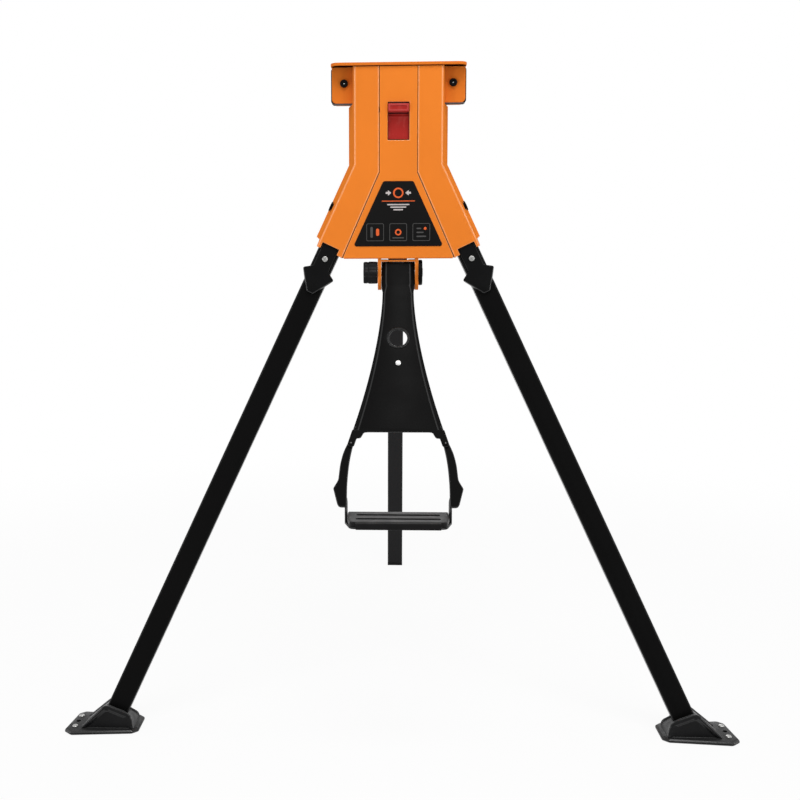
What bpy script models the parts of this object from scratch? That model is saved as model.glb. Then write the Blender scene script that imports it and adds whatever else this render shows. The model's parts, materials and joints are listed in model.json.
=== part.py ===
"""Portable clamping workbench: a foot-operated clamp on three folding legs.

Metres, +Z up. The pedal end faces -Y and the bench stands on Z = 0. Inside the bench frame
Y = 0 is the front of the head, and the frame is moved so that the whole part is centred.
"""
import math

import bmesh
import bpy
from mathutils import Matrix, Vector

# Fits
GAP = 0.0003                    # between pieces that touch
RUN_GAP = 0.0006                # round a pin or beside a moving piece
OVERLAP = 0.001                 # how far joined shapes and cutters run into each other
WELD = 0.000005                 # points closer than this are one

# Facets and the shape of heads
SIDES_SMALL = 12                # sides of a small round
SIDES_RIVET = 16
SIDES_ROUND = 20
SIDES_LARGE = 28
CORNER_STEPS = 4                # facets of a rounded corner
BEND_STEPS = 5                  # facets of a sheet bend
CAPSULE_STEPS = 8               # facets of a round bar end
HEAD_FLAT = 0.8                 # share of a bolt head's radius that is flat
HEAD_SIDE = 0.6                 # share of its height that is straight
RIVET_FLAT = 0.6                # share of a rivet head's radius that is flat

# Head: cover, side shells and fixed jaw
WORK_HEIGHT = 0.966             # floor to the top of the jaws
SHEET = 0.0025                  # sheet steel of the head
SEAM = 0.0005                   # gap between cover and shells
COVER_WIDTH = 0.0535
COVER_KINK_DROP = 0.1515        # below the jaw top, where the cover starts to flare
COVER_FOOT_WIDTH = 0.1605
HEAD_HEIGHT = 0.273             # down from the jaw top
HEAD_WIDTH = 0.126              # front of the straight upper part, over the shells
HEAD_DEPTH = 0.062
BEND_RADIUS = 0.003
SIDE_LEAN = 0.0095              # how far the sides lean out over the depth of the head
NOTCH_WIDTH = 0.026             # opening in each shell for the catch
NOTCH_DEPTH = 0.009
JAW_EAR_WIDTH = 0.0319          # jaw beyond the head at each side
JAW_SETBACK = 0.018             # jaw plate behind the front of the head
JAW_PLATE = 0.004
JAW_EAR_HEIGHT = 0.0539
JAW_EAR_ROUND = 0.006
STEM_WIDTH = 0.096
STEM_FLANGE = 0.003
CAP_PLATE = 0.0027              # top plate of a jaw
CAP_RIM = 0.0042                # height of the rim round the top plate
CAP_RIM_WALL = 0.0023
CAP_OVERHANG = 0.001            # beyond the jaw plate at each side
CAP_FRONT = 0.0028              # in front of the head
CAP_CORNER = 0.012
PAD_THICKNESS = 0.0137
PAD_HEIGHT = 0.0494
PAD_OVERLAP = 0.0015            # beyond the jaw plate at each side
PAD_ROUND = 0.005
JAW_BOLT_OFFSET = 0.0145        # bolt beyond the side of the head
JAW_BOLT_RADIUS = 0.003
JAW_BOLT_HEAD = 0.0056
JAW_BOLT_HEAD_HEIGHT = 0.004
JAW_BOLT_DEPTH = 0.009          # into the pad
JAW_BOLT_UP = 0.0025            # above the middle of the ears
JAW_CLEAR = 0.001               # cut-out of the shells below the pad

# Label and lock switch
LABEL_TOP_DROP = 0.1645         # below the jaw top
LABEL_HEIGHT = 0.092
LABEL_TOP_WIDTH = 0.0428
LABEL_BOTTOM_WIDTH = 0.1287
LABEL_SHEET = 0.0005
LABEL_ROUND = 0.004
SWITCH_WIDTH = 0.0295
SWITCH_DROP = 0.0815            # hinge below the jaw top
SWITCH_PIVOT_Y = 0.009
SWITCH_UP = 0.0258              # above the hinge
SWITCH_DOWN = 0.0244            # below the hinge
SWITCH_PLATE = 0.003
SWITCH_LIP_HEIGHT = 0.011
SWITCH_LIP_REACH = 0.006        # in front of the head
SWITCH_PIN_RADIUS = 0.002
SWITCH_BOSS_RADIUS = 0.0042
WINDOW_MARGIN = 0.0006          # beside the switch
WINDOW_MARGIN_Z = 0.0012        # above and below the switch
HOUSING_WALL = 0.0045
HOUSING_BACK = 0.0017

# Main beam and drive
BEAM_WIDTH = 0.048
BEAM_HEIGHT = 0.077
BEAM_WALL = 0.003
BEAM_DROP = 0.1555              # beam top below the jaw top
BEAM_TAIL = 0.125               # beam behind its slot
SLOT_WIDTH = 0.016
SLOT_MARGIN = 0.002             # slot beyond the neck at each end of its travel
END_CAP_PLATE = 0.003
END_CAP_INSERT = 0.015
BAR_WIDTH = 0.012
BAR_HEIGHT = 0.020
BAR_INSET = 0.080               # bar end before the end of the beam
YOKE_LENGTH = 0.022
YOKE_WALL_Z = 0.0038            # material above and below the yoke slot
GUIDE_LENGTH = 0.014
GUIDE_INSET = 0.030             # guide before the end of the bar
GUIDE_HEIGHT = 0.030
PAWL_WIDTH = 0.010
PAWL_PIVOT_Y = 0.040
PAWL_RISE = 0.012               # pivot above the tip
PAWL_LENGTH = 0.025
PAWL_RADIUS = 0.005
PAWL_PIN_RADIUS = 0.002

# Sliding jaw
JAW_OPENING = 0.001             # between the pads at rest, with the jaws closed
JAW_TRAVEL = 0.538              # from there to the jaws wide open
JAW_LIFT = 0.002                # saddle above the beam
SADDLE_WIDTH = 0.080
SADDLE_LENGTH = 0.090
SADDLE_HEIGHT = 0.015
GUSSET_HEIGHT = 0.110
GUSSET_THICKNESS = 0.004
GUSSET_NOSE = 0.004             # height left at its thin end
GUSSET_INSET = 0.004            # from the side of the saddle
SADDLE_INSET = 0.002            # jaw plate and gussets inside the saddle's edges
BLOCK_HEIGHT = 0.040
BLOCK_INSET = 0.002             # block ends inside the saddle ends
NECK_WIDTH = 0.014
NECK_INSET = 0.006
SADDLE_BOLT_RADIUS = 0.004
SADDLE_BOLT_HEAD = 0.0075
SADDLE_BOLT_HEAD_HEIGHT = 0.005
SADDLE_BOLT_DEPTH = 0.014
GRIP_WIDTH = 0.028
GRIP_PLATE = 0.004
GRIP_HEIGHT = 0.052

# Front legs
LEG_SIZE = 0.032
LEG_WALL = 0.002
LEG_SPLAY = math.radians(25.07)  # outward from vertical
LEG_LEAN = math.radians(5.33)    # forward, about the hinge
LEG_PIVOT_X = 0.075
LEG_PIVOT_Y = 0.030
LEG_PIVOT_DROP = 0.2095         # below the jaw top
LEG_ABOVE_PIVOT = 0.014
PLUG_CAP = 0.002
PLUG_INSERT = 0.018
SHELL_OFFSET = 0.0183           # front edge of the shell's side from the leg centre line
SHELL_END = 0.060               # shell front below the pivot, along the leg
SHELL_SIDE_END = 0.050          # shell side below the pivot, along the leg
BRACKET_SHEET = 0.003
BRACKET_UP = 0.030
BRACKET_DOWN = 0.040
BRACKET_FLANGE = 0.028
LEG_BOLT_RADIUS = 0.005
LEG_BOLT_HEAD = 0.0075
LEG_BOLT_HEAD_HEIGHT = 0.002
LEG_BOLT_CHAMFER = 0.0008
LEG_BOLT_SHOULDER = 0.007
NUT_RADIUS = 0.0095
NUT_HEIGHT = 0.006
BOLT_STICKOUT = 0.001
CROSS_PLATE = 0.004
CROSS_PLATE_TOP = 0.003         # below the beam top
LEG_SIDE_CLEAR = 0.001          # beside the folding leg
LEG_TOP_CLEAR = 0.010           # above the folding leg

# Catches
CATCH_THICKNESS = 0.005
CATCH_TOP = 0.046               # below the pivot, along the leg
CATCH_SHOULDER = 0.090
CATCH_BARB = 0.097
CATCH_TIP = 0.126
CATCH_TONGUE_WIDTH = 0.018
CATCH_BARB_WIDTH = 0.045
CATCH_TIP_WIDTH = 0.006
CATCH_ROUND = 0.002
CATCH_SCREW = 0.074
CATCH_TRAVEL = 0.010
SCREW_RADIUS = 0.0025
SCREW_HEAD = 0.005
SCREW_HEAD_HEIGHT = 0.0022
SCREW_DEPTH = 0.006             # into the tube

# Feet
FOOT_BASE = 0.006
FOOT_TOE = 0.0625               # outward of the leg centre at the floor
FOOT_HEEL = 0.047
FOOT_TOE_WIDTH = 0.076
FOOT_HEEL_WIDTH = 0.060
FOOT_ROUND = 0.013
FOOT_HUMP_HEIGHT = 0.041        # on the toe side of the leg
FOOT_HUMP_BACK = 0.031          # on its heel side
FOOT_HUMP_WALL = 0.0045
FOOT_HUMP_TOE = 0.038           # where the hump ends, outward of the leg centre at the floor
FOOT_HUMP_HEEL = 0.042
FOOT_HUMP_STEP = 0.003          # above the base at both ends
LEG_END_Z = 0.020               # height of the tube end centre
STUD_RADIUS = 0.0045
STUD_HEIGHT = 0.0025
STUD_FLAT = 0.6                 # share of its radius that is flat
STUD_SHOULDER = 0.8             # share of its height at the edge of the flat
STUD_SPACING = 0.037
STUD_INSET = 0.014              # in from the toe edge
FOOT_HOLE_RADIUS = 0.0035

# Rear leg
REAR_LEG_SIZE = 0.032
REAR_PIVOT_INSET = 0.032        # before the end of the beam
REAR_PIVOT_DROP = 0.2645        # below the jaw top
REAR_LEAN = math.radians(5.1)
REAR_BRACKET_LENGTH = 0.052
REAR_BRACKET_DOWN = 0.022       # below the pivot
REAR_BRACKET_SHEET = 0.003
REAR_TIP = 0.008
REAR_TIP_INSERT = 0.030

# Pedal
PEDAL_PIVOT_Y = 0.015
PEDAL_PIVOT_DROP = 0.2945       # below the jaw top
PEDAL_TILT = math.radians(27)   # forward of vertical, at rest
PEDAL_PRESS = math.radians(22)
PEDAL_SHEET = 0.0025
PEDAL_HEAD_WIDTH = 0.046
PEDAL_HEAD_UP = 0.009           # above the pivot
PEDAL_HEAD_END = 0.022
PEDAL_NECK_WIDTH = 0.0446
PEDAL_NECK_START = 0.027
PEDAL_NECK_END = 0.040
PEDAL_FOOT_WIDTH = 0.128
PEDAL_LENGTH = 0.247
PEDAL_FLARE = 1.6               # how late the sides flare out
PEDAL_ROWS = 10
PEDAL_FLANGE_BACK = 0.010       # flange behind the pivot axis at the top
PEDAL_FLANGE_END = 0.212        # where the flange has run out
PEDAL_LIP = 0.0032              # edge depth left below there
PEDAL_HOLE_T = 0.108
PEDAL_HOLE_RADIUS = 0.013
PEDAL_HOLE_RIM = 0.0025
PEDAL_HOLE_RIM_HEIGHT = 0.0015
PEDAL_RIVET_T = 0.1458
RIVET_RADIUS = 0.003
RIVET_HEAD = 0.0055
RIVET_HEAD_HEIGHT = 0.002
PIN_RADIUS = 0.006
HUB_RADIUS = 0.0082
CRANK_LENGTH = 0.082
CRANK_ANGLE = math.radians(24)  # behind vertical, at rest
CRANK_HALF = 0.008
CRANK_ARM = 0.005
CRANK_PIN_RADIUS = 0.005
CRANK_SIDE_GAP = 0.002          # beside the drive bar
SPRING_WIRE = 0.0024
SPRING_TURNS = 4
SPRING_POINTS = 10              # points in a turn
SPRING_PITCH = 0.0030
SPRING_CLEAR = 0.0006           # round the hub
SPRING_LEG = 0.007              # straight end of the wire

# Pedal bracket, nut and knob
CHEEK_SHEET = 0.005
CHEEK_BACK_Y = 0.042
CHEEK_DOWN = 0.025              # below the pedal pivot
CHEEK_LAP = 0.042               # up the side of the beam
CHEEK_ROUND = 0.010
WEB_UP = 0.016                  # above the pedal pivot
WEB_SHEET = 0.0025
WEB_STRIP = 0.0034              # front strip of the web
PIN_NUT_RADIUS = 0.0183
PIN_NUT_THICKNESS = 0.0064
KNOB_RADIUS = 0.0165
KNOB_LOBE = 0.0015
KNOB_LOBES = 6
KNOB_LOBE_POINTS = 8
KNOB_THICKNESS = 0.0205
KNOB_SOCKET = 0.014

# Stirrup and tread
STIRRUP_LENGTH = 0.352          # pivot to the tread frame
STIRRUP_SHEET = 0.005
STIRRUP_TOP_T = 0.233
STIRRUP_TOP_X = 0.0535
STIRRUP_ARM = 0.0085            # width of the arm at its top
STIRRUP_KINK_T = 0.277
STIRRUP_KINK_X = 0.0643         # inner edge below the kink
STIRRUP_INNER_X = 0.0693        # inner edge above the tread
STIRRUP_ARM_WIDE = 0.0125       # width of the arm below the kink
STIRRUP_EAR_T = 0.326
STIRRUP_EAR = 0.0065            # how far the ear stands out
STIRRUP_EAR_UP = 0.011
STIRRUP_EAR_DOWN = 0.021
STIRRUP_RIVET_T = 0.263
STIRRUP_RIVET_X = 0.0646
TAB_WIDTH = 0.010
SMALL_RIVET_RADIUS = 0.0022
SMALL_RIVET_HEAD = 0.0040
TREAD_FRONT = 0.041             # before the tread frame
TREAD_BACK = 0.0212             # behind the tread frame
TREAD_TOP = -0.0082             # below the tread frame
TREAD_PAD = 0.0065
TREAD_TRAY = 0.003
TREAD_FRONT_WIDTH = 0.129
TREAD_ROUND = 0.008
TREAD_WALL = 0.003
TREAD_WALL_UP = 0.016
TREAD_WALL_FRONT = 0.012
TREAD_LIP = 0.003
GROOVES = 2
GROOVE_WIDTH = 0.007
GROOVE_DEPTH = 0.0015
GROOVE_MARGIN = 0.008

# Places worked out from the sizes above
COVER_KINK_Z = WORK_HEIGHT - COVER_KINK_DROP
HEAD_BOTTOM_Z = WORK_HEIGHT - HEAD_HEIGHT
LABEL_TOP_Z = WORK_HEIGHT - LABEL_TOP_DROP
LABEL_BOTTOM_Z = LABEL_TOP_Z - LABEL_HEIGHT
SWITCH_Z = WORK_HEIGHT - SWITCH_DROP
BEAM_TOP_Z = WORK_HEIGHT - BEAM_DROP
LEG_PIVOT_Z = WORK_HEIGHT - LEG_PIVOT_DROP
REAR_PIVOT_Z = WORK_HEIGHT - REAR_PIVOT_DROP
PEDAL_PIVOT_Z = WORK_HEIGHT - PEDAL_PIVOT_DROP
CHEEK_BOTTOM_Z = PEDAL_PIVOT_Z - CHEEK_DOWN
WEB_Z = PEDAL_PIVOT_Z + WEB_UP
JAW_WIDTH = HEAD_WIDTH + 2 * JAW_EAR_WIDTH
JAW_BOLT_SPACING = HEAD_WIDTH + 2 * JAW_BOLT_OFFSET
TOP_UNDERSIDE = WORK_HEIGHT - CAP_PLATE
COVER_TOP_Z = TOP_UNDERSIDE - GAP
EAR_BOTTOM_Z = WORK_HEIGHT - JAW_EAR_HEIGHT
JAW_BACK_Y = JAW_SETBACK + JAW_PLATE
PAD_FRONT_Y = JAW_BACK_Y + GAP
PAD_FACE_Y = PAD_FRONT_Y + PAD_THICKNESS
PAD_TOP_Z = WORK_HEIGHT - CAP_RIM - GAP
PAD_BOTTOM_Z = PAD_TOP_Z - PAD_HEIGHT
JAW_BOLT_Z = (EAR_BOTTOM_Z + PAD_TOP_Z) / 2 + JAW_BOLT_UP
SIDE_ANGLE = math.atan2(SIDE_LEAN, HEAD_DEPTH)
SIDE_SHEET = SHEET / math.cos(SIDE_ANGLE)
SLIDE_FACE_Y = PAD_FACE_Y + JAW_OPENING
SLIDE_PLATE_Y = SLIDE_FACE_Y + PAD_THICKNESS + GAP
BEAM_FRONT_Y = SHEET + GAP
BEAM_BOTTOM_Z = BEAM_TOP_Z - BEAM_HEIGHT
BEAM_INNER = BEAM_WIDTH / 2 - BEAM_WALL
BEAM_FLOOR_Z = BEAM_BOTTOM_Z + BEAM_WALL
BEAM_ROOF_Z = BEAM_TOP_Z - BEAM_WALL
SADDLE_BOTTOM_Z = BEAM_TOP_Z + JAW_LIFT
SADDLE_TOP_Z = SADDLE_BOTTOM_Z + SADDLE_HEIGHT
BLOCK_TOP_Z = BEAM_ROOF_Z - RUN_GAP
BLOCK_BOTTOM_Z = BLOCK_TOP_Z - BLOCK_HEIGHT
BLOCK_SPAN = (SLIDE_PLATE_Y + BLOCK_INSET, SLIDE_PLATE_Y + SADDLE_LENGTH - BLOCK_INSET)
NECK_SPAN = (SLIDE_PLATE_Y + NECK_INSET, SLIDE_PLATE_Y + SADDLE_LENGTH - NECK_INSET)
SLOT_SPAN = (NECK_SPAN[0] - SLOT_MARGIN, NECK_SPAN[1] + JAW_TRAVEL + SLOT_MARGIN)
BEAM_END_Y = SLOT_SPAN[1] + BEAM_TAIL
BAR_END_Y = BEAM_END_Y - BAR_INSET
GUIDE_Y = BAR_END_Y - GUIDE_INSET
REAR_PIVOT_Y = BEAM_END_Y - REAR_PIVOT_INSET
CRANK_PIN_Y = PEDAL_PIVOT_Y + CRANK_LENGTH * math.sin(CRANK_ANGLE)
CRANK_LOW_Z = PEDAL_PIVOT_Z + CRANK_LENGTH * math.cos(CRANK_ANGLE)
CRANK_HIGH_Z = PEDAL_PIVOT_Z + CRANK_LENGTH
BAR_MIDDLE_Z = (CRANK_LOW_Z + CRANK_HIGH_Z) / 2
YOKE_SLOT_Z = (CRANK_LOW_Z - CRANK_PIN_RADIUS - RUN_GAP, CRANK_HIGH_Z + CRANK_PIN_RADIUS + RUN_GAP)
YOKE_Z = (YOKE_SLOT_Z[0] - YOKE_WALL_Z, YOKE_SLOT_Z[1] + YOKE_WALL_Z)
PAWL_PIVOT_Z = YOKE_Z[1] + RUN_GAP + PAWL_RADIUS + PAWL_RISE
CRANK_INNER = BAR_WIDTH / 2 + CRANK_SIDE_GAP
CRANK_OUTER = CRANK_INNER + CRANK_ARM
PEDAL_FRONT = HUB_RADIUS + SPRING_CLEAR + SPRING_WIRE + RUN_GAP + PEDAL_SHEET
CHEEK_INNER = BEAM_WIDTH / 2 + GAP
CHEEK_OUTER = CHEEK_INNER + CHEEK_SHEET
CRANK_BACK_Y = (PEDAL_PIVOT_Y + (BEAM_BOTTOM_Z - PEDAL_PIVOT_Z) * math.tan(CRANK_ANGLE)
                + CRANK_HALF / math.cos(CRANK_ANGLE))
CROSS_PLATE_Y = CRANK_BACK_Y + CRANK_SIDE_GAP
BRACKET_INNER = LEG_SIZE / 2 + LEG_SIDE_CLEAR
TREAD_WIDTH = 2 * (STIRRUP_INNER_X - GAP)
TREAD_FRONT_Y = PEDAL_PIVOT_Y - STIRRUP_LENGTH * math.sin(PEDAL_TILT) - TREAD_FRONT - TREAD_LIP - GAP
REAR_FLOOR_Y = REAR_PIVOT_Y + REAR_PIVOT_Z * math.tan(REAR_LEAN)
REAR_END_Y = REAR_FLOOR_Y + REAR_LEG_SIZE / 2 / math.cos(REAR_LEAN)
BENCH_Y = -(TREAD_FRONT_Y + REAR_END_Y) / 2

# Colour, roughness and metallic value of each finish
FINISHES = {
    "orange_paint": ((0.870, 0.240, 0.032), 0.42, 0.0),
    "black_paint": ((0.012, 0.012, 0.013), 0.38, 0.0),
    "black_plastic": ((0.014, 0.014, 0.015), 0.55, 0.0),
    "black_rubber": ((0.010, 0.010, 0.010), 0.80, 0.0),
    "red_plastic": ((0.430, 0.028, 0.030), 0.40, 0.0),
    "zinc": ((0.560, 0.570, 0.580), 0.32, 1.0),
    "dark_steel": ((0.090, 0.090, 0.095), 0.45, 1.0),
    "label_film": ((0.016, 0.016, 0.016), 0.50, 0.0),
}
SIDES = (("left", -1), ("right", 1))


# Scene helpers
def clear_scene():
    for item in list(bpy.data.objects):
        bpy.data.objects.remove(item, do_unlink=True)


def new_collection(name):
    made = bpy.data.collections.new(name)
    bpy.context.scene.collection.children.link(made)
    return made


def empty(name, parent=None, matrix=Matrix.Identity(4)):
    """A frame that pieces hang on, placed by a matrix in its parent."""
    made = bpy.data.objects.new(name, None)
    made.parent = parent
    made.matrix_local = matrix
    PARTS.objects.link(made)
    return made


def material(name, finish):
    colour, roughness, metallic = FINISHES[finish]
    made = bpy.data.materials.new(name)
    made.use_nodes = True
    shader = made.node_tree.nodes["Principled BSDF"]
    shader.inputs["Base Color"].default_value = (*colour, 1.0)
    shader.inputs["Roughness"].default_value = roughness
    shader.inputs["Metallic"].default_value = metallic
    return made


def part(name, mesh, finish, parent):
    """A named piece of the bench in its parent's frame."""
    made = bpy.data.objects.new(name, mesh)
    mesh.name = name
    mesh.materials.clear()
    mesh.materials.append(material(name, finish))
    mesh.shade_smooth()
    mesh.set_sharp_from_angle(angle=math.radians(30))
    made.parent = parent
    PARTS.objects.link(made)
    return made


def combine(piece, mesh, operation, parent=None, solver="EXACT"):
    """Cut a mesh out of a piece, or join it on, in the piece's own frame or another."""
    tool = bpy.data.objects.new(f"{piece.name}_{operation.lower()}", mesh)
    tool.parent = parent or piece.parent
    tool.hide_render = True
    tool.display_type = "WIRE"
    CUTTERS.objects.link(tool)
    change = piece.modifiers.new(operation.title(), "BOOLEAN")
    change.operation = operation
    change.solver = solver
    change.object = tool
    return tool


def cut(piece, mesh, parent=None):
    combine(piece, mesh, "DIFFERENCE", parent)


def join(piece, mesh, parent=None, solver="EXACT"):
    return combine(piece, mesh, "UNION", parent, solver)


# Shapes
ALONG = {
    "X": Matrix(((0, 0, 1, 0), (1, 0, 0, 0), (0, 1, 0, 0), (0, 0, 0, 1))),
    "Y": Matrix.Rotation(math.pi / 2, 4, "X"),
    "Z": Matrix.Identity(4),
}


def finished(shape):
    mesh = bpy.data.meshes.new("shape")
    shape.to_mesh(mesh)
    shape.free()
    return mesh


def evaluated(data, modifiers=()):
    """Mesh of a curve or profile after its modifiers, with its seams welded."""
    holder = bpy.data.objects.new("shape", data)
    bpy.context.scene.collection.objects.link(holder)
    for kind, settings in modifiers:
        change = holder.modifiers.new(kind.title(), kind)
        for setting, value in settings.items():
            setattr(change, setting, value)
    graph = bpy.context.evaluated_depsgraph_get()
    mesh = bpy.data.meshes.new_from_object(holder.evaluated_get(graph))
    bpy.data.objects.remove(holder, do_unlink=True)
    shape = bmesh.new()
    shape.from_mesh(mesh)
    bpy.data.meshes.remove(mesh)
    bmesh.ops.remove_doubles(shape, verts=shape.verts, dist=WELD)
    bmesh.ops.recalc_face_normals(shape, faces=shape.faces)
    return finished(shape)


def box(x, y, z):
    """Box between (low, high) limits."""
    size = Matrix.Diagonal((x[1] - x[0], y[1] - y[0], z[1] - z[0], 1))
    centre = Matrix.Translation((sum(x) / 2, sum(y) / 2, sum(z) / 2))
    shape = bmesh.new()
    bmesh.ops.create_cube(shape, size=1, matrix=centre @ size)
    return finished(shape)


def both(half):
    """Limits from minus half to plus half."""
    return (-half, half)


def rod(axis, radius, span, at=(0, 0, 0), sides=SIDES_ROUND):
    """Cylinder along an axis between the limits of span, through a point."""
    middle = Vector(at)
    middle["XYZ".index(axis)] = sum(span) / 2
    shape = bmesh.new()
    bmesh.ops.create_cone(shape, cap_ends=True, segments=sides, radius1=radius, radius2=radius,
                          depth=span[1] - span[0], matrix=Matrix.Translation(middle) @ ALONG[axis])
    return finished(shape)


def plate(axis, outline, span):
    """Flat outline in the two other coordinates, in X, Y, Z order, between the limits of span."""
    curve = bpy.data.curves.new("outline", "CURVE")
    curve.dimensions = "2D"
    curve.fill_mode = "BOTH"
    curve.extrude = (span[1] - span[0]) / 2
    spline = curve.splines.new("POLY")
    spline.points.add(len(outline) - 1)
    spline.use_cyclic_u = True
    for point, (across, along) in zip(spline.points, outline):
        point.co = (across, along, 0, 1)
    mesh = evaluated(curve)
    middle = Vector((0, 0, 0))
    middle["XYZ".index(axis)] = sum(span) / 2
    mesh.transform(Matrix.Translation(middle) @ ALONG[axis])
    return mesh


def turned(axis, profile, at=(0, 0, 0), sides=SIDES_ROUND):
    """Turned shape from (radius, height) points that run down the outer side."""
    edges = [(i, i + 1) for i in range(len(profile) - 1)]
    mesh = bpy.data.meshes.new("profile")
    mesh.from_pydata([(radius, 0, height) for radius, height in profile], edges, [])
    screw = {"axis": "Z", "steps": sides, "render_steps": sides, "use_merge_vertices": True,
             "merge_threshold": WELD}
    mesh = evaluated(mesh, [("SCREW", screw)])
    mesh.transform(Matrix.Translation(at) @ ALONG[axis])
    return mesh


def bolt(axis, head, head_height, shank, length, at, outward=1):
    """Bolt or rivet whose head stands outward from a point, with its shank the other way."""
    profile = [(0, head_height), (head * HEAD_FLAT, head_height), (head, head_height * HEAD_SIDE),
               (head, 0), (shank, 0), (shank, -length), (0, -length)]
    mesh = turned(axis, profile)
    if outward < 0:
        flip(mesh, axis)
    mesh.transform(Matrix.Translation(at))
    return mesh


def rivet(head, shank, grip, at):
    """Rivet along Y with a head at each end of its grip, which runs back from a point."""
    flat = head * RIVET_FLAT
    tall = RIVET_HEAD_HEIGHT
    profile = [(0, tall), (flat, tall), (head, 0), (shank, 0), (shank, -grip), (head, -grip),
               (flat, -grip - tall), (0, -grip - tall)]
    return turned("Y", profile, at, SIDES_RIVET)


def sheet(rows):
    """Open surface through rows of points, top row first, each left to right as seen from outside."""
    shape = bmesh.new()
    grid = [[shape.verts.new(point) for point in row] for row in rows]
    for upper, lower in zip(grid, grid[1:]):
        for k in range(len(upper) - 1):
            shape.faces.new((lower[k], lower[k + 1], upper[k + 1], upper[k]))
    return finished(shape)


def thicken(piece, thickness):
    """Give an open surface its thickness behind its face."""
    change = piece.modifiers.new("Solidify", "SOLIDIFY")
    change.thickness = thickness
    change.offset = -1
    change.use_even_offset = True


def flip(mesh, axis):
    """Mirror a mesh across the origin along one axis."""
    factors = [-1 if name == axis else 1 for name in "XYZ"]
    mesh.transform(Matrix.Diagonal((*factors, 1)))
    mesh.flip_normals()
    return mesh


def sided(mesh, sign):
    """A mesh made for the right side, mirrored where it is for the left."""
    return mesh if sign > 0 else flip(mesh, "X")


def rounded(corners):
    """Outline of a polygon given as (a, b, radius), with an arc at each corner that has a radius."""
    outline = []
    for i, (a, b, radius) in enumerate(corners):
        here = Vector((a, b))
        if radius == 0:
            outline.append((a, b))
            continue
        back = (Vector(corners[i - 1][:2]) - here).normalized()
        ahead = (Vector(corners[(i + 1) % len(corners)][:2]) - here).normalized()
        half = back.angle(ahead) / 2
        centre = here + (back + ahead).normalized() * radius / math.sin(half)
        start = here + back * radius / math.tan(half) - centre
        end = here + ahead * radius / math.tan(half) - centre
        first = math.atan2(start.y, start.x)
        sweep = (math.atan2(end.y, end.x) - first + math.pi) % (2 * math.pi) - math.pi
        for k in range(CORNER_STEPS + 1):
            angle = first + sweep * k / CORNER_STEPS
            outline.append((centre.x + radius * math.cos(angle), centre.y + radius * math.sin(angle)))
    return outline


def mirrored(half):
    """Full outline from its right half, given from one end of the middle line to the other."""
    return half + [(-corner[0], *corner[1:]) for corner in reversed(half)]


def capsule(start, end, radius):
    """Outline of a bar with round ends between two points."""
    start = Vector(start)
    end = Vector(end)
    along = math.atan2(end.y - start.y, end.x - start.x)
    outline = []
    for centre, first in ((end, along - math.pi / 2), (start, along + math.pi / 2)):
        for k in range(CAPSULE_STEPS + 1):
            angle = first + math.pi * k / CAPSULE_STEPS
            outline.append((centre.x + radius * math.cos(angle), centre.y + radius * math.sin(angle)))
    return outline


def hip_matrix(sign):
    """Frame at a front leg's pivot: X along its hinge, Z up the leg before it leans forward."""
    place = Matrix.Translation((sign * LEG_PIVOT_X, LEG_PIVOT_Y, LEG_PIVOT_Z))
    return place @ Matrix.Rotation(-sign * LEG_SPLAY, 4, "Y")


def hip_point(offset, down):
    """(x, z) of a point beside and down the right leg, in its front view."""
    x = LEG_PIVOT_X + offset * math.cos(LEG_SPLAY) + down * math.sin(LEG_SPLAY)
    z = LEG_PIVOT_Z + offset * math.sin(LEG_SPLAY) - down * math.cos(LEG_SPLAY)
    return (x, z)


# Head
def front_cover(bench):
    half = COVER_WIDTH / 2
    corners = [(half, COVER_TOP_Z), (half, COVER_KINK_Z), (COVER_FOOT_WIDTH / 2, HEAD_BOTTOM_Z)]
    cover = part("front_cover", plate("Y", mirrored(corners), (0, SHEET)), "orange_paint", bench)
    for side, sign in SIDES:
        wall = box((half - SHEET, half), (SHEET - OVERLAP, JAW_SETBACK - GAP), (COVER_KINK_Z, COVER_TOP_Z))
        join(cover, sided(wall, sign))
    window = SWITCH_WIDTH / 2 + WINDOW_MARGIN
    low = SWITCH_Z - SWITCH_DOWN - WINDOW_MARGIN_Z
    high = SWITCH_Z + SWITCH_UP + WINDOW_MARGIN_Z
    cut(cover, box(both(window), (-OVERLAP, SHEET + OVERLAP), (low, high)))


def shell_edge(row, inset):
    """(x, z) on a row of the right shell, at an inset from its outer edge."""
    if row == "top":
        return (HEAD_WIDTH / 2 - inset, COVER_TOP_Z)
    if row == "foot":
        return hip_point(SHELL_OFFSET - inset, SHELL_END)
    offset = SHELL_OFFSET - inset
    x = HEAD_WIDTH / 2 - inset
    down = (x - LEG_PIVOT_X - offset * math.cos(LEG_SPLAY)) / math.sin(LEG_SPLAY)
    return hip_point(offset, down)


def side_lean(depth):
    """How far a shell's side has leaned out at a depth behind the front of the head."""
    return SIDE_LEAN * depth / HEAD_DEPTH


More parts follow.
